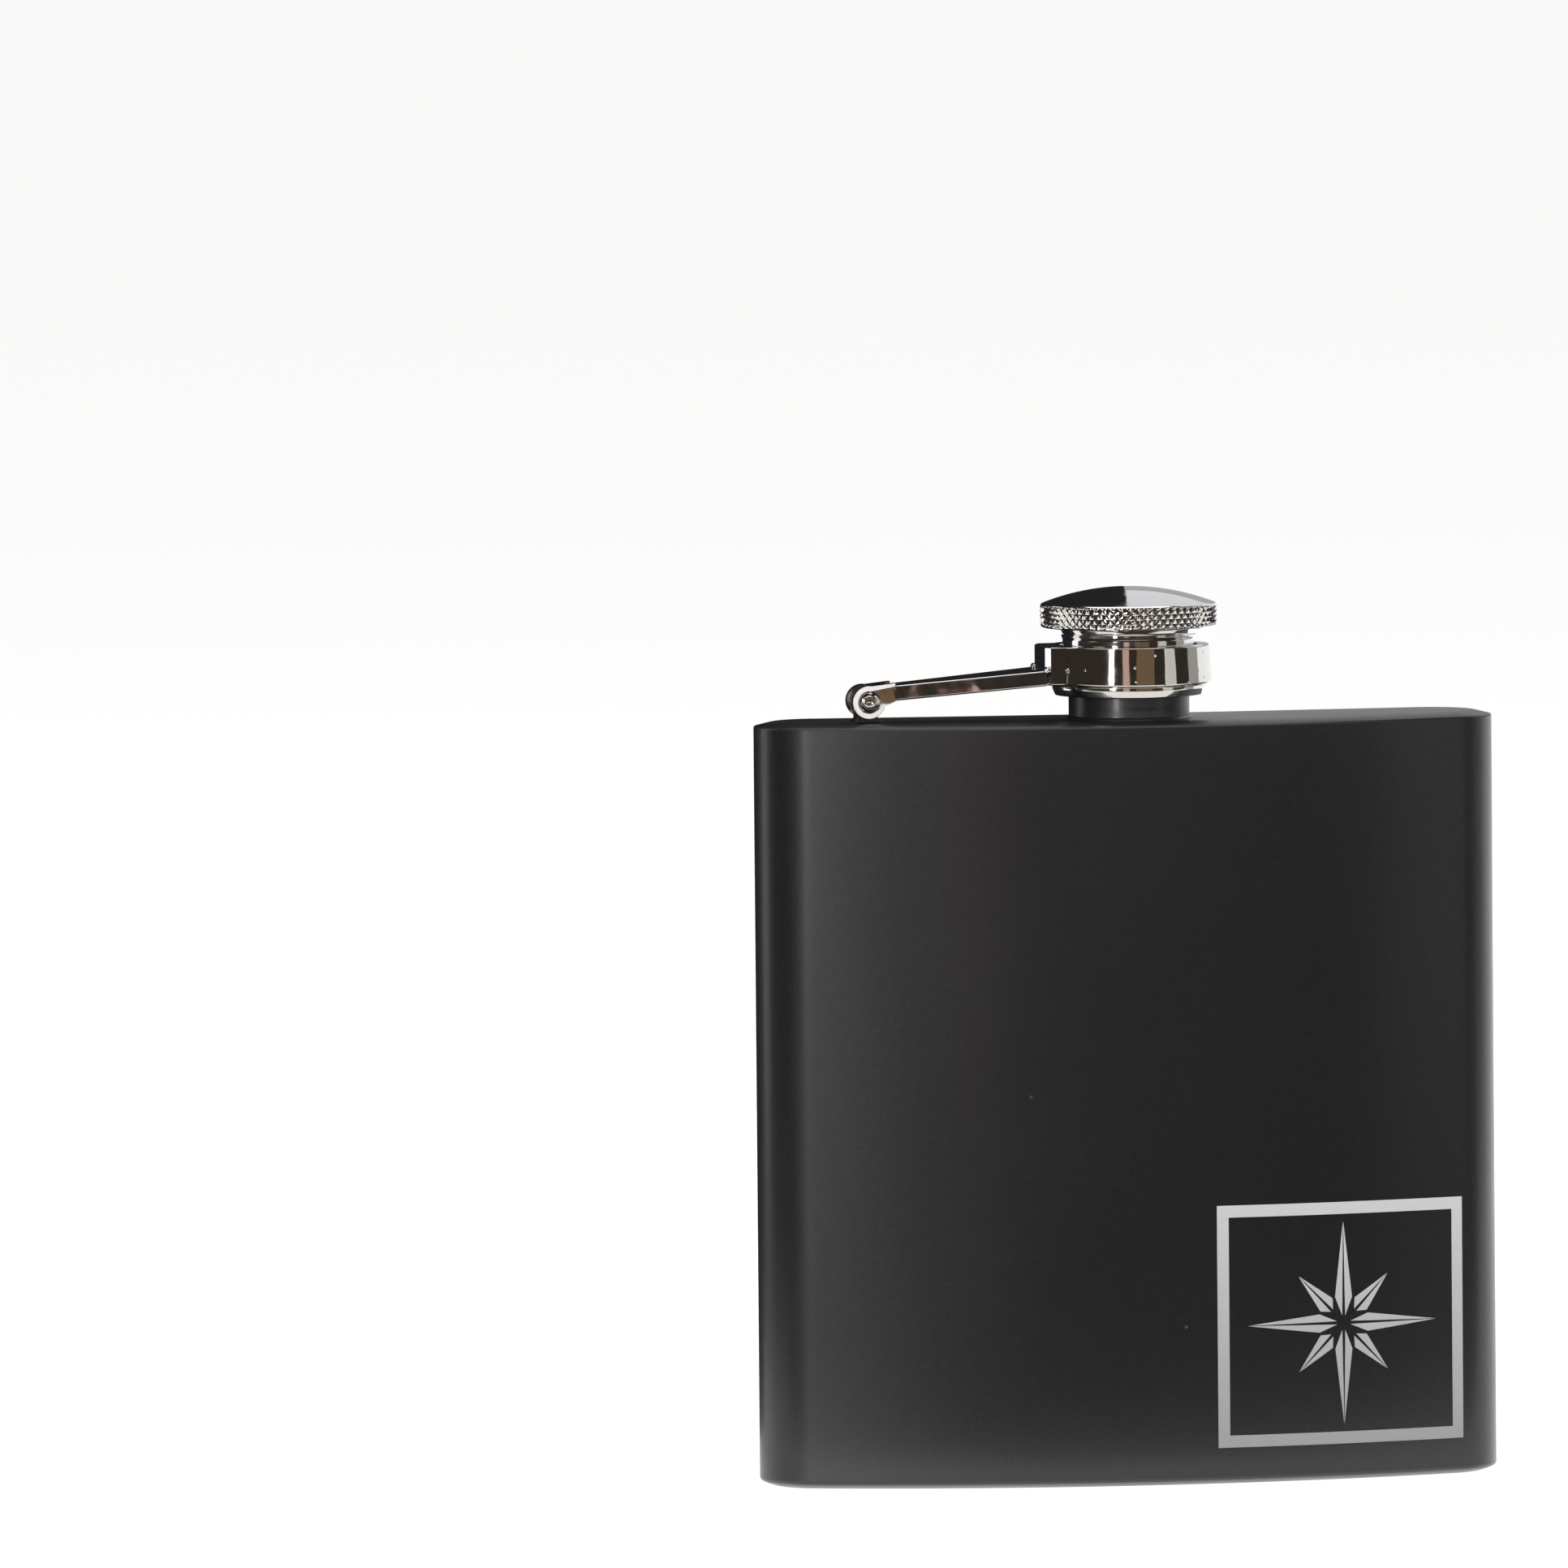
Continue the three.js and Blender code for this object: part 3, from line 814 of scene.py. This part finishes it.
def turned_on_pin(name, profile, steps=64):
    """An open (radius, distance along) profile in millimetres, turned about the hinge pin."""
    vertices = []
    faces = []
    for i in range(steps):
        angle = 2 * math.pi * i / steps
        for radius, along in profile:
            offset = Vector((radius * math.cos(angle), along, radius * math.sin(angle)))
            vertices.append(hinge_middle + offset * mm)
    rows = len(profile)
    for i in range(steps):
        beside = (i + 1) % steps
        for row in range(rows - 1):
            near, far = i * rows + row, beside * rows + row
            faces.append((near, near + 1, far + 1, far))
    piece = make_piece(name, vertices, faces)
    face_outward(piece, join=2e-7)
    return piece


def hinge_pin():
    head, thickness = 0.9, 0.4
    shank = (pin_high.y - pin_low.y) / 2 / mm - thickness
    edge = 0.22
    under_head = shank - 0.3
    half = [(pin_radius, 0), (pin_radius, under_head), (head, under_head), (head, shank + thickness - edge)]
    edge_steps = 6
    for step in range(1, edge_steps + 1):
        angle = math.pi / 2 * step / edge_steps
        out = shank + thickness - edge + edge * math.sin(angle)
        half.append((head - edge + edge * math.cos(angle), out))
    dimple_radius, dimple_depth = 0.42, 0.12
    for step in range(edge_steps + 1):
        angle = math.pi / 2 * step / edge_steps
        out = shank + thickness - dimple_depth * math.sin(angle)
        half.append((dimple_radius * math.cos(angle), out))
    pin = turned_on_pin("riveted_pin", [(r, -along) for r, along in reversed(half)] + half)
    fit_piece(pin, "hinge_pin", "flask", "pin_chrome", arm_plate)


hinge_pin()


# ---- Lever arm ----
# A plated steel pressing: a channel that widens from the hinge to the ring.
# Its end is rolled into two knuckles round the pin, and the rolled end lies back on top.

ring_low, ring_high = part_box("collar_ring")
arm_low, arm_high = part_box("lever_arm")
arm_length = (arm_high.x - hinge_middle.x) / mm
knuckle_radius = 2.05


def sheared_edge():
    """The rolled sheet's cut edges: plated too, but satin, with fine marks of the shear."""
    material, surface, new, link = shader("sheared_edge")
    where = place_on_piece(new)
    marks = speckle(new, link, where, 1700, detail=3.0)
    tone = shade_between(new, link, marks, (0.84, 0.83, 0.81), (0.97, 0.97, 0.96))
    link(tone, surface.inputs["Base Color"])
    surface.inputs["Metallic"].default_value = 0.35
    link(between(new, link, marks, 0.3, 0.42), surface.inputs["Roughness"])
    link(raise_by(new, link, marks, 0.25, 0.00003), surface.inputs["Normal"])
    return material


def lever_arm():
    hinge_half, ring_half, sheet, height = 2.75, 5.0, 0.8, 1.9
    hinge_top = knuckle_radius - 0.3
    ring_bottom = (ring_low.z - hinge_middle.z) / mm
    ring_top = ring_bottom + height
    slot_reach = knuckle_radius + 0.45
    widens_from = 3.05

    def half_width(x):
        part = max(0, x - widens_from) / (arm_length - widens_from)
        bow = -0.04 * math.sin(2 * math.pi * part) if 0 < part < 1 else 0
        return hinge_half + (ring_half - hinge_half) * part + bow

    def top(x):
        return hinge_top + (ring_top - hinge_top) * x / arm_length

    def bottom(x):
        return hinge_top - height + (ring_bottom - hinge_top + height) * x / arm_length

    def channel(x):
        wide, high, low = half_width(x), top(x), bottom(x)
        section = [
            (-wide, low), (-wide, high), (wide, high), (wide, low),
            (wide - sheet, low), (wide - sheet, high - sheet),
            (sheet - wide, high - sheet), (sheet - wide, low),
        ]
        return soft_corners(section, 0.24)

    lengths = 24
    stations = [slot_reach]
    stations += [widens_from + (arm_length - widens_from) * i / lengths for i in range(lengths + 1)]
    vertices = []
    faces = []
    for x in stations:
        vertices += [hinge_middle + Vector((x, y, z)) * mm for y, z in channel(x)]
    corners = len(channel(slot_reach))
    for i in range(len(stations) - 1):
        for corner in range(corners):
            here = i * corners + corner
            beside = i * corners + (corner + 1) % corners
            faces.append((here, here + corners, beside + corners, beside))
    faces.append(tuple(range(corners)))
    last = (len(stations) - 1) * corners
    faces.append(tuple(reversed(range(last, last + corners))))
    arm = make_piece("pressed_arm", vertices, faces)
    face_outward(arm)

    # Each knuckle is a cheek with a round eye, and its rolled tail on top.
    tail = 3.4
    steps = 44
    start = math.radians(80)
    end = math.radians(345)
    outline = [(tail, bottom(tail)), (tail, top(tail) + 0.32)]
    for step in range(steps + 1):
        angle = start + (end - start) * step / steps
        outline.append((knuckle_radius * math.cos(angle), knuckle_radius * math.sin(angle)))
    inner = 1.62
    for side in (-1, 1):
        knuckle = across("knuckle", outline, (hinge_half - inner) / 2)
        for vertex in knuckle.data.vertices:
            vertex.co.y += side * (hinge_half + inner) / 2 * mm
        shape_with(arm, knuckle, "UNION")
    shape_with(arm, pin_cylinder("pin_hole", pin_radius + 0.12, 6), "DIFFERENCE")
    for side in (-1, 1):
        dish = [(0, 0.3), (1.46, 0.3), (1.44, 0), (1.2, -0.2), (0.96, -0.33), (0.7, -0.42), (0, -0.42)]
        profile = [(radius, side * (hinge_half + out)) for radius, out in dish]
        shape_with(arm, turned_on_pin("dish", profile), "DIFFERENCE")
    round_edges(arm, 0.12)
    fit_piece(arm, "lever_arm", "collar arm", "arm_chrome", arm_plate)

    # The cut edge of the rolled sheet stands a little proud of each cheek.
    edge_finish = sheared_edge()
    roll_end = math.radians(352)
    rim = []
    for step in range(steps + 1):
        angle = start + (roll_end - start) * step / steps
        rim.append(((knuckle_radius - 0.03) * math.cos(angle), (knuckle_radius - 0.03) * math.sin(angle)))
    for step in range(steps + 1):
        angle = roll_end + (start - roll_end) * step / steps
        inside = 1.38 + 0.5 * max(0, 1 - step / steps * 5) ** 2
        rim.append((inside * math.cos(angle), inside * math.sin(angle)))
    rim.append((tail - 0.1, top(tail) - 0.12))
    rim.append((tail - 0.1, top(tail) + 0.29))
    for side, name in ((-1, "rolled_eye_front"), (1, "rolled_eye_back")):
        eye = across(name, rim, 0.1)
        for vertex in eye.data.vertices:
            vertex.co.y += side * hinge_half * mm
        round_edges(eye, 0.09, segments=4)
        add_trim(eye, "collar arm", edge_finish)


lever_arm()


# ---- Collar ring ----
# A plated ring, slightly wider at its foot, with a square root block for the arm's end.
# The brazing leaves a small bright fillet where the arm meets the block.

ring_plate = bright_plate("ring_plating", pits=0.42, haze=(0.03, 0.09), waves=0.00003)
ring_bore = 8.5
block_reach = 11.2
block_half_width = 5.0


def above_shoulder(points):
    """Points in millimetres from the neck's axis and the shoulder, put in the frame."""
    middle = Vector((neck_axis.x, neck_axis.y, shoulder_height))
    return [middle + Vector(point) * mm for point in points]


def ring_outline(radius, inset):
    """The ring from above, anticlockwise, with its square block at the left."""
    reach = block_reach - inset
    half = block_half_width - inset
    radius -= inset
    meets = math.asin(half / radius)
    cut_back, cut_along = 0.53, 1.35
    points = []
    steps = 150
    for step in range(steps + 1):
        angle = -math.pi + meets + (2 * math.pi - 2 * meets) * step / steps
        points.append(Vector((radius * math.cos(angle), radius * math.sin(angle))))
    root = -radius * math.cos(meets)
    taper = 0.22
    block = [
        (root, half),
        (cut_back - reach, half - taper),
        (-reach, half - cut_along),
        (-reach, cut_along - half),
        (cut_back - reach, taper - half),
        (root, -half),
    ]
    for start, end in zip(block, block[1:]):
        for step in range(8):
            if step or start != block[0]:
                points.append(Vector(start).lerp(Vector(end), step / 8))
    return points


def collar_ring():
    low = (ring_low.z - shoulder_height) / mm
    high = (ring_high.z - shoulder_height) / mm
    foot_radius, top_radius, edge = 10.3, 10.0, 0.22
    levels = []
    edge_steps = 6
    for step in range(edge_steps + 1):
        turn = math.pi / 2 * step / edge_steps
        levels.append((foot_radius, edge * (1 - math.sin(turn)), low + edge * (1 - math.cos(turn))))
    band_low, band_high = low + edge, high - edge
    for part in (0.01, 0.04, 0.3, 0.7, 0.96, 0.99):
        height = band_low + (band_high - band_low) * part
        levels.append((foot_radius + (top_radius - foot_radius) * part, 0, height))
    for step in range(edge_steps + 1):
        turn = math.pi / 2 * step / edge_steps
        levels.append((top_radius, edge * (1 - math.cos(turn)), high - edge * (1 - math.sin(turn))))
    vertices = []
    for radius, inset, height in levels:
        vertices += [(p.x, p.y, height) for p in ring_outline(radius, inset)]
    around = len(vertices) // len(levels)
    bore_levels = [(0.2, high), (0.06, high - 0.06), (0, high - 0.2)]
    bore_levels += [(0, low + 0.2), (0.06, low + 0.06), (0.2, low)]
    directions = [math.atan2(p.y, p.x) for p in ring_outline(top_radius, 0)]
    for chamfer, height in bore_levels:
        reach = ring_bore + chamfer
        vertices += [(reach * math.cos(a), reach * math.sin(a), height) for a in directions]
    faces = []
    rows = len(levels) + len(bore_levels)
    for row in range(rows):
        above = (row + 1) % rows
        for i in range(around):
            j = (i + 1) % around
            faces.append((row * around + i, row * around + j, above * around + j, above * around + i))
    ring = make_piece("collar_band", above_shoulder(vertices), faces, crease=20)
    fit_piece(ring, "collar_ring", "collar arm", "ring_chrome", ring_plate)


collar_ring()


def braze_bead(side, height):
    """The lump where the run of braze ends, at a cut corner of the block."""
    bm = bmesh.new()
    bmesh.ops.create_icosphere(bm, subdivisions=4, radius=1)
    middle = Vector((neck_axis.x - (block_reach - 0.1) * mm, neck_axis.y, shoulder_height))
    middle += Vector((0, side * 4.45, height - 0.02)) * mm
    for vertex in bm.verts:
        along = vertex.co.copy()
        swell = 1 + 0.08 * math.sin(3.1 * along.x + 2.3 * along.z + side) + 0.05 * math.sin(5.7 * along.y)
        vertex.co = middle + Vector((along.x * 0.5, along.y * 0.62, along.z * 0.48)) * swell * mm
    name = "braze_bead_front" if side < 0 else "braze_bead_back"
    add_trim(piece_from(bm, name), "collar arm", ring_plate)


def braze_fillet():
    """A small run of braze along the arm's top edge at the root block."""
    height = (ring_low.z - shoulder_height) / mm + 1.9
    radius = 0.45
    steps = 8
    section = [(0, 0)]
    for step in range(steps + 1):
        turn = math.pi / 2 * step / steps
        section.append((-radius + radius * math.sin(turn), radius - radius * math.cos(turn)))
    vertices = []
    rows = 24
    for row in range(rows + 1):
        across_arm = -block_half_width + 0.1 + (2 * block_half_width - 0.2) * row / rows
        swell = 1 + 0.18 * math.sin(row * 2.1) * math.cos(row * 0.9)
        for x, z in section:
            vertices.append((-block_reach + 0.03 + x * swell, across_arm, height - 0.04 + z * swell))
    count = len(section)
    faces = [tuple(range(count)), tuple(reversed(range(rows * count, rows * count + count)))]
    for row in range(rows):
        for i in range(count):
            j = (i + 1) % count
            near, far = row * count, row * count + count
            faces.append((near + i, far + i, far + j, near + j))
    fillet = make_piece("braze_fillet", above_shoulder(vertices), faces)
    face_outward(fillet)
    add_trim(fillet, "collar arm", ring_plate)
    for side in (-1, 1):
        braze_bead(side, height)


braze_fillet()


# ---- Cap head ----
# The domed head is drawn from sheet, polished and plated, with a diamond knurl rolled on its rim.
# The rim's lower edge is rolled in under the sleeve's flange.

head_plate = bright_plate("head_plating", haze=(0.04, 0.12))


def cap_head():
    radius = 11.0
    bottom, knurl_low, knurl_high, shoulder, apex = 11.3, 11.5, 14.12, 14.3, 16.3
    sheet = 0.6
    diamonds_around = 64
    samples = 10
    knurl_depth = 0.36
    diamond_height = 1.2
    around = diamonds_around * samples
    knurl_rows = 26
    dome_start = radius - 0.32
    rise = apex - shoulder
    sphere = (dome_start**2 + rise**2) / (2 * rise)

    def dome(out, lift):
        return apex - lift - (sphere - math.sqrt(sphere**2 - out**2))

    def groove(turn, height):
        """How far the knurl's two families of grooves sink the surface here, from 0 to 1."""
        u = turn * diamonds_around
        v = (height - knurl_low) / diamond_height
        ridge_a = abs((u + v) % 1 - 0.5) * 2
        ridge_b = abs((u - v) % 1 - 0.5) * 2
        return max(ridge_a, ridge_b)

    outside = [(8.4, bottom), (radius - 0.42, bottom)]
    outside += [(radius - 0.3, bottom + 0.04), (radius - 0.14, knurl_low - 0.04)]
    vertices = []
    profile_rows = []
    for point in outside:
        profile_rows.append((point, False))
    for row in range(knurl_rows + 1):
        profile_rows.append(((radius, knurl_low + (knurl_high - knurl_low) * row / knurl_rows), True))
    profile_rows.append(((radius - 0.14, knurl_high + 0.05), False))
    profile_rows.append(((dome_start + 0.06, shoulder - 0.03), False))
    dome_steps = 22
    for step in range(dome_steps):
        out = dome_start * (1 - step / dome_steps)
        profile_rows.append(((out, dome(out, 0)), False))
    faces = []
    for i in range(around):
        turn = i / around
        angle = 2 * math.pi * turn
        for (out, height), knurled in profile_rows:
            if knurled:
                edge = min(1, (height - knurl_low) / 0.25, (knurl_high - height) / 0.25)
                sink = knurl_depth * groove(turn, height) * max(0, edge) + 0.14 * (1 - max(0, edge))
                out -= sink
            vertices.append((out * math.cos(angle), out * math.sin(angle), height))
    rows = len(profile_rows)
    for i in range(around):
        beside = (i + 1) % around
        for row in range(rows - 1):
            faces.append((i * rows + row, beside * rows + row, beside * rows + row + 1, i * rows + row + 1))
    apex_index = len(vertices)
    vertices.append((0, 0, apex))
    for i in range(around):
        beside = (i + 1) % around
        faces.append((i * rows + rows - 1, beside * rows + rows - 1, apex_index))
    inner_radius = radius - knurl_depth - sheet
    inside = [(8.4, bottom + sheet), (inner_radius, bottom + sheet)]
    inner_steps = 8
    for step in range(inner_steps):
        out = inner_radius * (1 - step / inner_steps)
        inside.append((out, dome(out, sheet)))
    first = len(vertices)
    for i in range(around):
        angle = 2 * math.pi * i / around
        for out, height in inside:
            vertices.append((out * math.cos(angle), out * math.sin(angle), height))
    inner_rows = len(inside)
    for i in range(around):
        beside = (i + 1) % around
        for row in range(inner_rows - 1):
            low, far = first + i * inner_rows + row, first + beside * inner_rows + row
            faces.append((low, low + 1, far + 1, far))
        faces.append((i * rows, first + i * inner_rows, first + beside * inner_rows, beside * rows))
    inner_apex = len(vertices)
    vertices.append((0, 0, apex - sheet))
    for i in range(around):
        beside = (i + 1) % around
        near, far = first + (i + 1) * inner_rows - 1, first + (beside + 1) * inner_rows - 1
        faces.append((far, near, inner_apex))
    head = make_piece("knurled_head", above_shoulder(vertices), faces, crease=32)
    fit_piece(head, "cap_shell", "cap", "head_chrome", head_plate)


cap_head()


# ---- Sleeve and retaining flange ----
# The turned sleeve runs through the collar ring, with a fine bead and a groove under the head.
# The flange pressed onto its foot keeps the cap in the ring.

sleeve_plate = bright_plate("sleeve_plating", haze=(0.05, 0.14), waves=0.000005)


def cap_sleeve():
    foot, radius, groove, lip = 2.9, 8.2, 8.02, 8.44
    profile = soft_corners(
        [
            (7.8, foot),
            (radius, foot),
            (radius, 9.8),
            (radius + 0.04, 9.95),
            (lip - 0.06, 10.3),
            (groove, 10.36),
            (groove, 10.5),
            (radius + 0.02, 10.54),
            (lip, 11.12),
            (lip, 11.95),
            (9.8, 11.95),
            (9.8, 12.35),
            (7.8, 12.35),
        ],
        0.04,
    )
    fit_piece(turned("turned_sleeve", profile), "cap_sleeve", "cap", "sleeve_chrome", sleeve_plate)


def retaining_flange():
    profile = soft_corners(
        [(8.25, 2.9), (9.15, 2.9), (9.46, 3.62), (9.5, 3.72), (9.5, 4.2), (8.25, 4.2)],
        0.1,
    )
    flange = turned("swaged_flange", profile)
    fit_piece(flange, "retaining_flange", "cap", "flange_chrome", sleeve_plate)


cap_sleeve()
retaining_flange()


# ---- Thread insert and seal ----
# A pale nylon insert, moulded with the cap's thread, fills the head and the sleeve.
# A silicone disc lies against its ceiling and shuts on the neck's rim.


def moulded_nylon():
    material, surface, new, link = shader("moulded_nylon")
    where = place_on_piece(new)
    flow = speckle(new, link, where, 130, detail=3.0)
    skin = speckle(new, link, where, 2400)
    tone = shade_between(new, link, flow, (0.66, 0.63, 0.55), (0.76, 0.73, 0.66))
    link(tone, surface.inputs["Base Color"])
    link(between(new, link, skin, 0.38, 0.52), surface.inputs["Roughness"])
    surface.inputs["Subsurface Weight"].default_value = 0.1
    surface.inputs["Subsurface Radius"].default_value = (0.0012, 0.001, 0.0008)
    link(raise_by(new, link, skin, 0.15, 0.00003), surface.inputs["Normal"])
    return material


def thread_insert():
    outline = [
        (7.45, 5.5), (7.75, 5.5), (7.75, 12.4), (9.7, 12.4), (9.7, 13.4), (9.1, 13.8),
        (0.001, 13.8), (0.001, 13.2), (7.45, 13.2),
    ]
    insert = turned("moulded_insert", soft_corners(outline, 0.08))
    ridge = [(7.5, 0.5), (7.28, 0.2), (7.25, 0), (7.28, -0.2), (7.5, -0.5)]
    add_to_piece(insert, *helical_ridge(ridge, 6.3, 3))
    fit_piece(insert, "thread_insert", "cap", "insert_nylon", moulded_nylon())


thread_insert()


def silicone():
    material, surface, new, link = shader("translucent_silicone")
    where = place_on_piece(new)
    dust = speckle(new, link, where, 1500)
    tone = shade_between(new, link, dust, (0.50, 0.52, 0.53), (0.60, 0.62, 0.63))
    link(tone, surface.inputs["Base Color"])
    link(between(new, link, dust, 0.45, 0.62), surface.inputs["Roughness"])
    surface.inputs["Subsurface Weight"].default_value = 0.2
    surface.inputs["Subsurface Radius"].default_value = (0.001, 0.001, 0.001)
    link(raise_by(new, link, dust, 0.1, 0.00002), surface.inputs["Normal"])
    return material


def seal_disc():
    outline = [(0.001, 12.45), (5.0, 12.45), (5.2, 12.5), (6.4, 12.5)]
    outline += [(6.6, 12.45), (7.1, 12.45), (7.1, 13.15), (0.001, 13.15)]
    seal = turned("seal_disc", soft_corners(outline, 0.12))
    fit_piece(seal, "seal_gasket", "cap seal", "seal_silicone", silicone())


seal_disc()


# ---- Floor and light ----
# A plain pale floor with a dark mat over it further out in front, which only the flask sees.
# A narrow soft box stands in front at the left, and bright and dark panels round the plating.

bpy.context.scene.view_settings.view_transform = "Standard"


def glowing(name, colour, strength=1.0, base=(0, 0, 0)):
    material, surface, _, _ = shader(name)
    surface.inputs["Base Color"].default_value = (*base, 1)
    surface.inputs["Roughness"].default_value = 0.8
    surface.inputs["Specular IOR Level"].default_value = 0.1
    surface.inputs["Emission Color"].default_value = (*colour, 1)
    surface.inputs["Emission Strength"].default_value = strength
    return material


def flat_sheet(name, corners, material):
    sheet = make_piece(name, corners, [(0, 1, 2, 3)])
    sheet.data.materials.append(material)
    return sheet


floor_reach = 9.0
mat_starts = 0.015
floor_corners = [(-floor_reach, -floor_reach), (floor_reach, -floor_reach), (floor_reach, floor_reach)]
floor_corners.append((-floor_reach, floor_reach))
floor_paint = glowing("pale_floor", (1, 1, 1), 0.92, base=(0.85, 0.85, 0.85))
floor_height = solid_bounds[0][2] - 0.05 * mm
flat_sheet("floor", [(x, y, floor_height) for x, y in floor_corners], floor_paint)
front_y = solid_bounds[0][1] - mat_starts
left_x = solid_bounds[0][0] - 0.12
mat_cloth = glowing("dark_mat", (0.03, 0.024, 0.02))
front_mat = [(-floor_reach, -floor_reach), (floor_reach, -floor_reach), (floor_reach, front_y)]
front_mat.append((-floor_reach, front_y))
left_mat = [(-floor_reach, front_y), (left_x, front_y), (left_x, floor_reach), (-floor_reach, floor_reach)]
for name, corners in (("front_mat", front_mat), ("left_mat", left_mat)):
    mat = flat_sheet(name, [(x, y, 2 * mm) for x, y in corners], mat_cloth)
    mat.visible_camera = False
    mat.visible_shadow = False


def around_flask(bearing, distance, height):
    """A place by its bearing from the camera's direction, in degrees to the right, and its distance."""
    turn = math.radians(bearing)
    out = to_camera * math.cos(turn) + to_picture_right * math.sin(turn)
    return out * distance + Vector((0, 0, height))


def soft_box(name, bearing, elevation, width, tall, watts, distance=1.2, mirrored=True):
    light = bpy.data.lights.new(name, "AREA")
    light.shape = "RECTANGLE"
    light.size = width
    light.size_y = tall
    light.energy = watts
    box = bpy.data.objects.new(name, light)
    bpy.context.scene.collection.objects.link(box)
    rise = math.radians(elevation)
    box.location = around_flask(bearing, distance * math.cos(rise), 0.05 + distance * math.sin(rise))
    aim = Vector((0, 0, shoulder_height * 0.6)) - box.location
    box.rotation_mode = "QUATERNION"
    box.rotation_quaternion = aim.to_track_quat("-Z", "Y")
    box.visible_camera = False
    box.visible_glossy = mirrored


soft_box("left_box", -24, 13, 0.12, 0.5, 4.7)
soft_box("right_box", 61, 10, 0.34, 0.5, 0.7)
soft_box("right_wall_box", 150, 10, 0.6, 0.5, 3.9)
soft_box("front_fill", 25, 10, 0.5, 0.5, 10.5, mirrored=False)
soft_box("top_fill", 180, 80, 0.8, 0.8, 4.0)


def show_to_mirrors_only(sheet):
    sheet.visible_camera = False
    sheet.visible_diffuse = False
    sheet.visible_shadow = False
    sheet.visible_transmission = False


def mirror_panel(name, start, end, low, high, colour, distance=0.4):
    """An upright panel round the flask, between two bearings, that only mirrors see."""
    steps = 12
    corners = []
    for step in range(steps + 1):
        bearing = start + (end - start) * step / steps
        corners.append(around_flask(bearing, distance, low))
        corners.append(around_flask(bearing, distance, high))
    faces = [(2 * i, 2 * i + 1, 2 * i + 3, 2 * i + 2) for i in range(steps)]
    panel = make_piece(name, corners, faces)
    panel.data.materials.append(glowing(name, colour))
    show_to_mirrors_only(panel)


mirror_panel("left_strip", -117, -99, 0.01, 0.5, (1.4, 1.4, 1.4))
mirror_panel("pink_strip", -8, 1, 0.01, 0.2, (0.55, 0.37, 0.29))
mirror_panel("wood_wall", 11, 36, 0.063, 0.2, (0.165, 0.105, 0.06))
mirror_panel("low_wood", 1, 20, 0.048, 0.0595, (0.36, 0.20, 0.15))
mirror_panel("right_strip", 53, 69, 0.01, 0.2, (0.62, 0.60, 0.54))
mirror_panel("right_corner", 92, 114, 0.01, 0.3, (0.35, 0.34, 0.31))
mirror_panel("white_wall", 114, 182, 0.0, 0.13, (1.0, 1.0, 0.98), distance=1.0)
mirror_panel("grey_sweep", 100, 205, 0.13, 0.46, (0.42, 0.42, 0.44), distance=1.0)
mirror_panel("pale_sweep", 100, 205, 0.46, 1.40, (0.78, 0.78, 0.81), distance=1.0)
mirror_panel("front_canopy", -80, 60, 0.5, 0.9, (1.1, 1.08, 1.05), distance=0.45)


def pale_sheet_in_front():
    """A pale sheet level with the shoulder, which the ring's and the arm's lower edges mirror."""
    near, far, reach, height = -9.8 * mm, -17 * mm, 60 * mm, shoulder_height + 1.4 * mm
    corners = [(-reach, far, height), (reach, far, height), (reach, near, height), (-reach, near, height)]
    show_to_mirrors_only(flat_sheet("pale_sheet", corners, glowing("pale_sheet", (0.95, 0.92, 0.85))))


pale_sheet_in_front()


def dark_upright(name, low, high):
    """A dark upright sheet behind the flask, hidden from the camera."""
    corners = [(low.x, low.y, low.z), (high.x, low.y, low.z), (high.x, low.y, high.z), (low.x, low.y, high.z)]
    sheet = flat_sheet(name, corners, glowing(name, (0.004, 0.004, 0.005), base=(0.01, 0.01, 0.011)))
    sheet.visible_camera = False
    sheet.visible_shadow = False


dark_upright("dark_board", Vector((-0.092, 0.06, 0.001)), Vector((0.0105, 0.06, 0.19)))


def studio_air():
    """Dim warm surroundings for the plating to mirror, white to the camera itself."""
    world = bpy.data.worlds.new("studio")
    world.use_nodes = True
    nodes, links = world.node_tree.nodes, world.node_tree.links
    background = nodes["Background"]
    path = nodes.new("ShaderNodeLightPath")
    mix = nodes.new("ShaderNodeMix")
    mix.data_type = "RGBA"
    mix.inputs["A"].default_value = (0.034, 0.026, 0.020, 1)
    mix.inputs["B"].default_value = (1.0, 1.0, 1.0, 1)
    links.new(path.outputs["Is Camera Ray"], mix.inputs["Factor"])
    links.new(mix.outputs["Result"], background.inputs["Color"])
    background.inputs["Strength"].default_value = 1.0
    bpy.context.scene.world = world


studio_air()
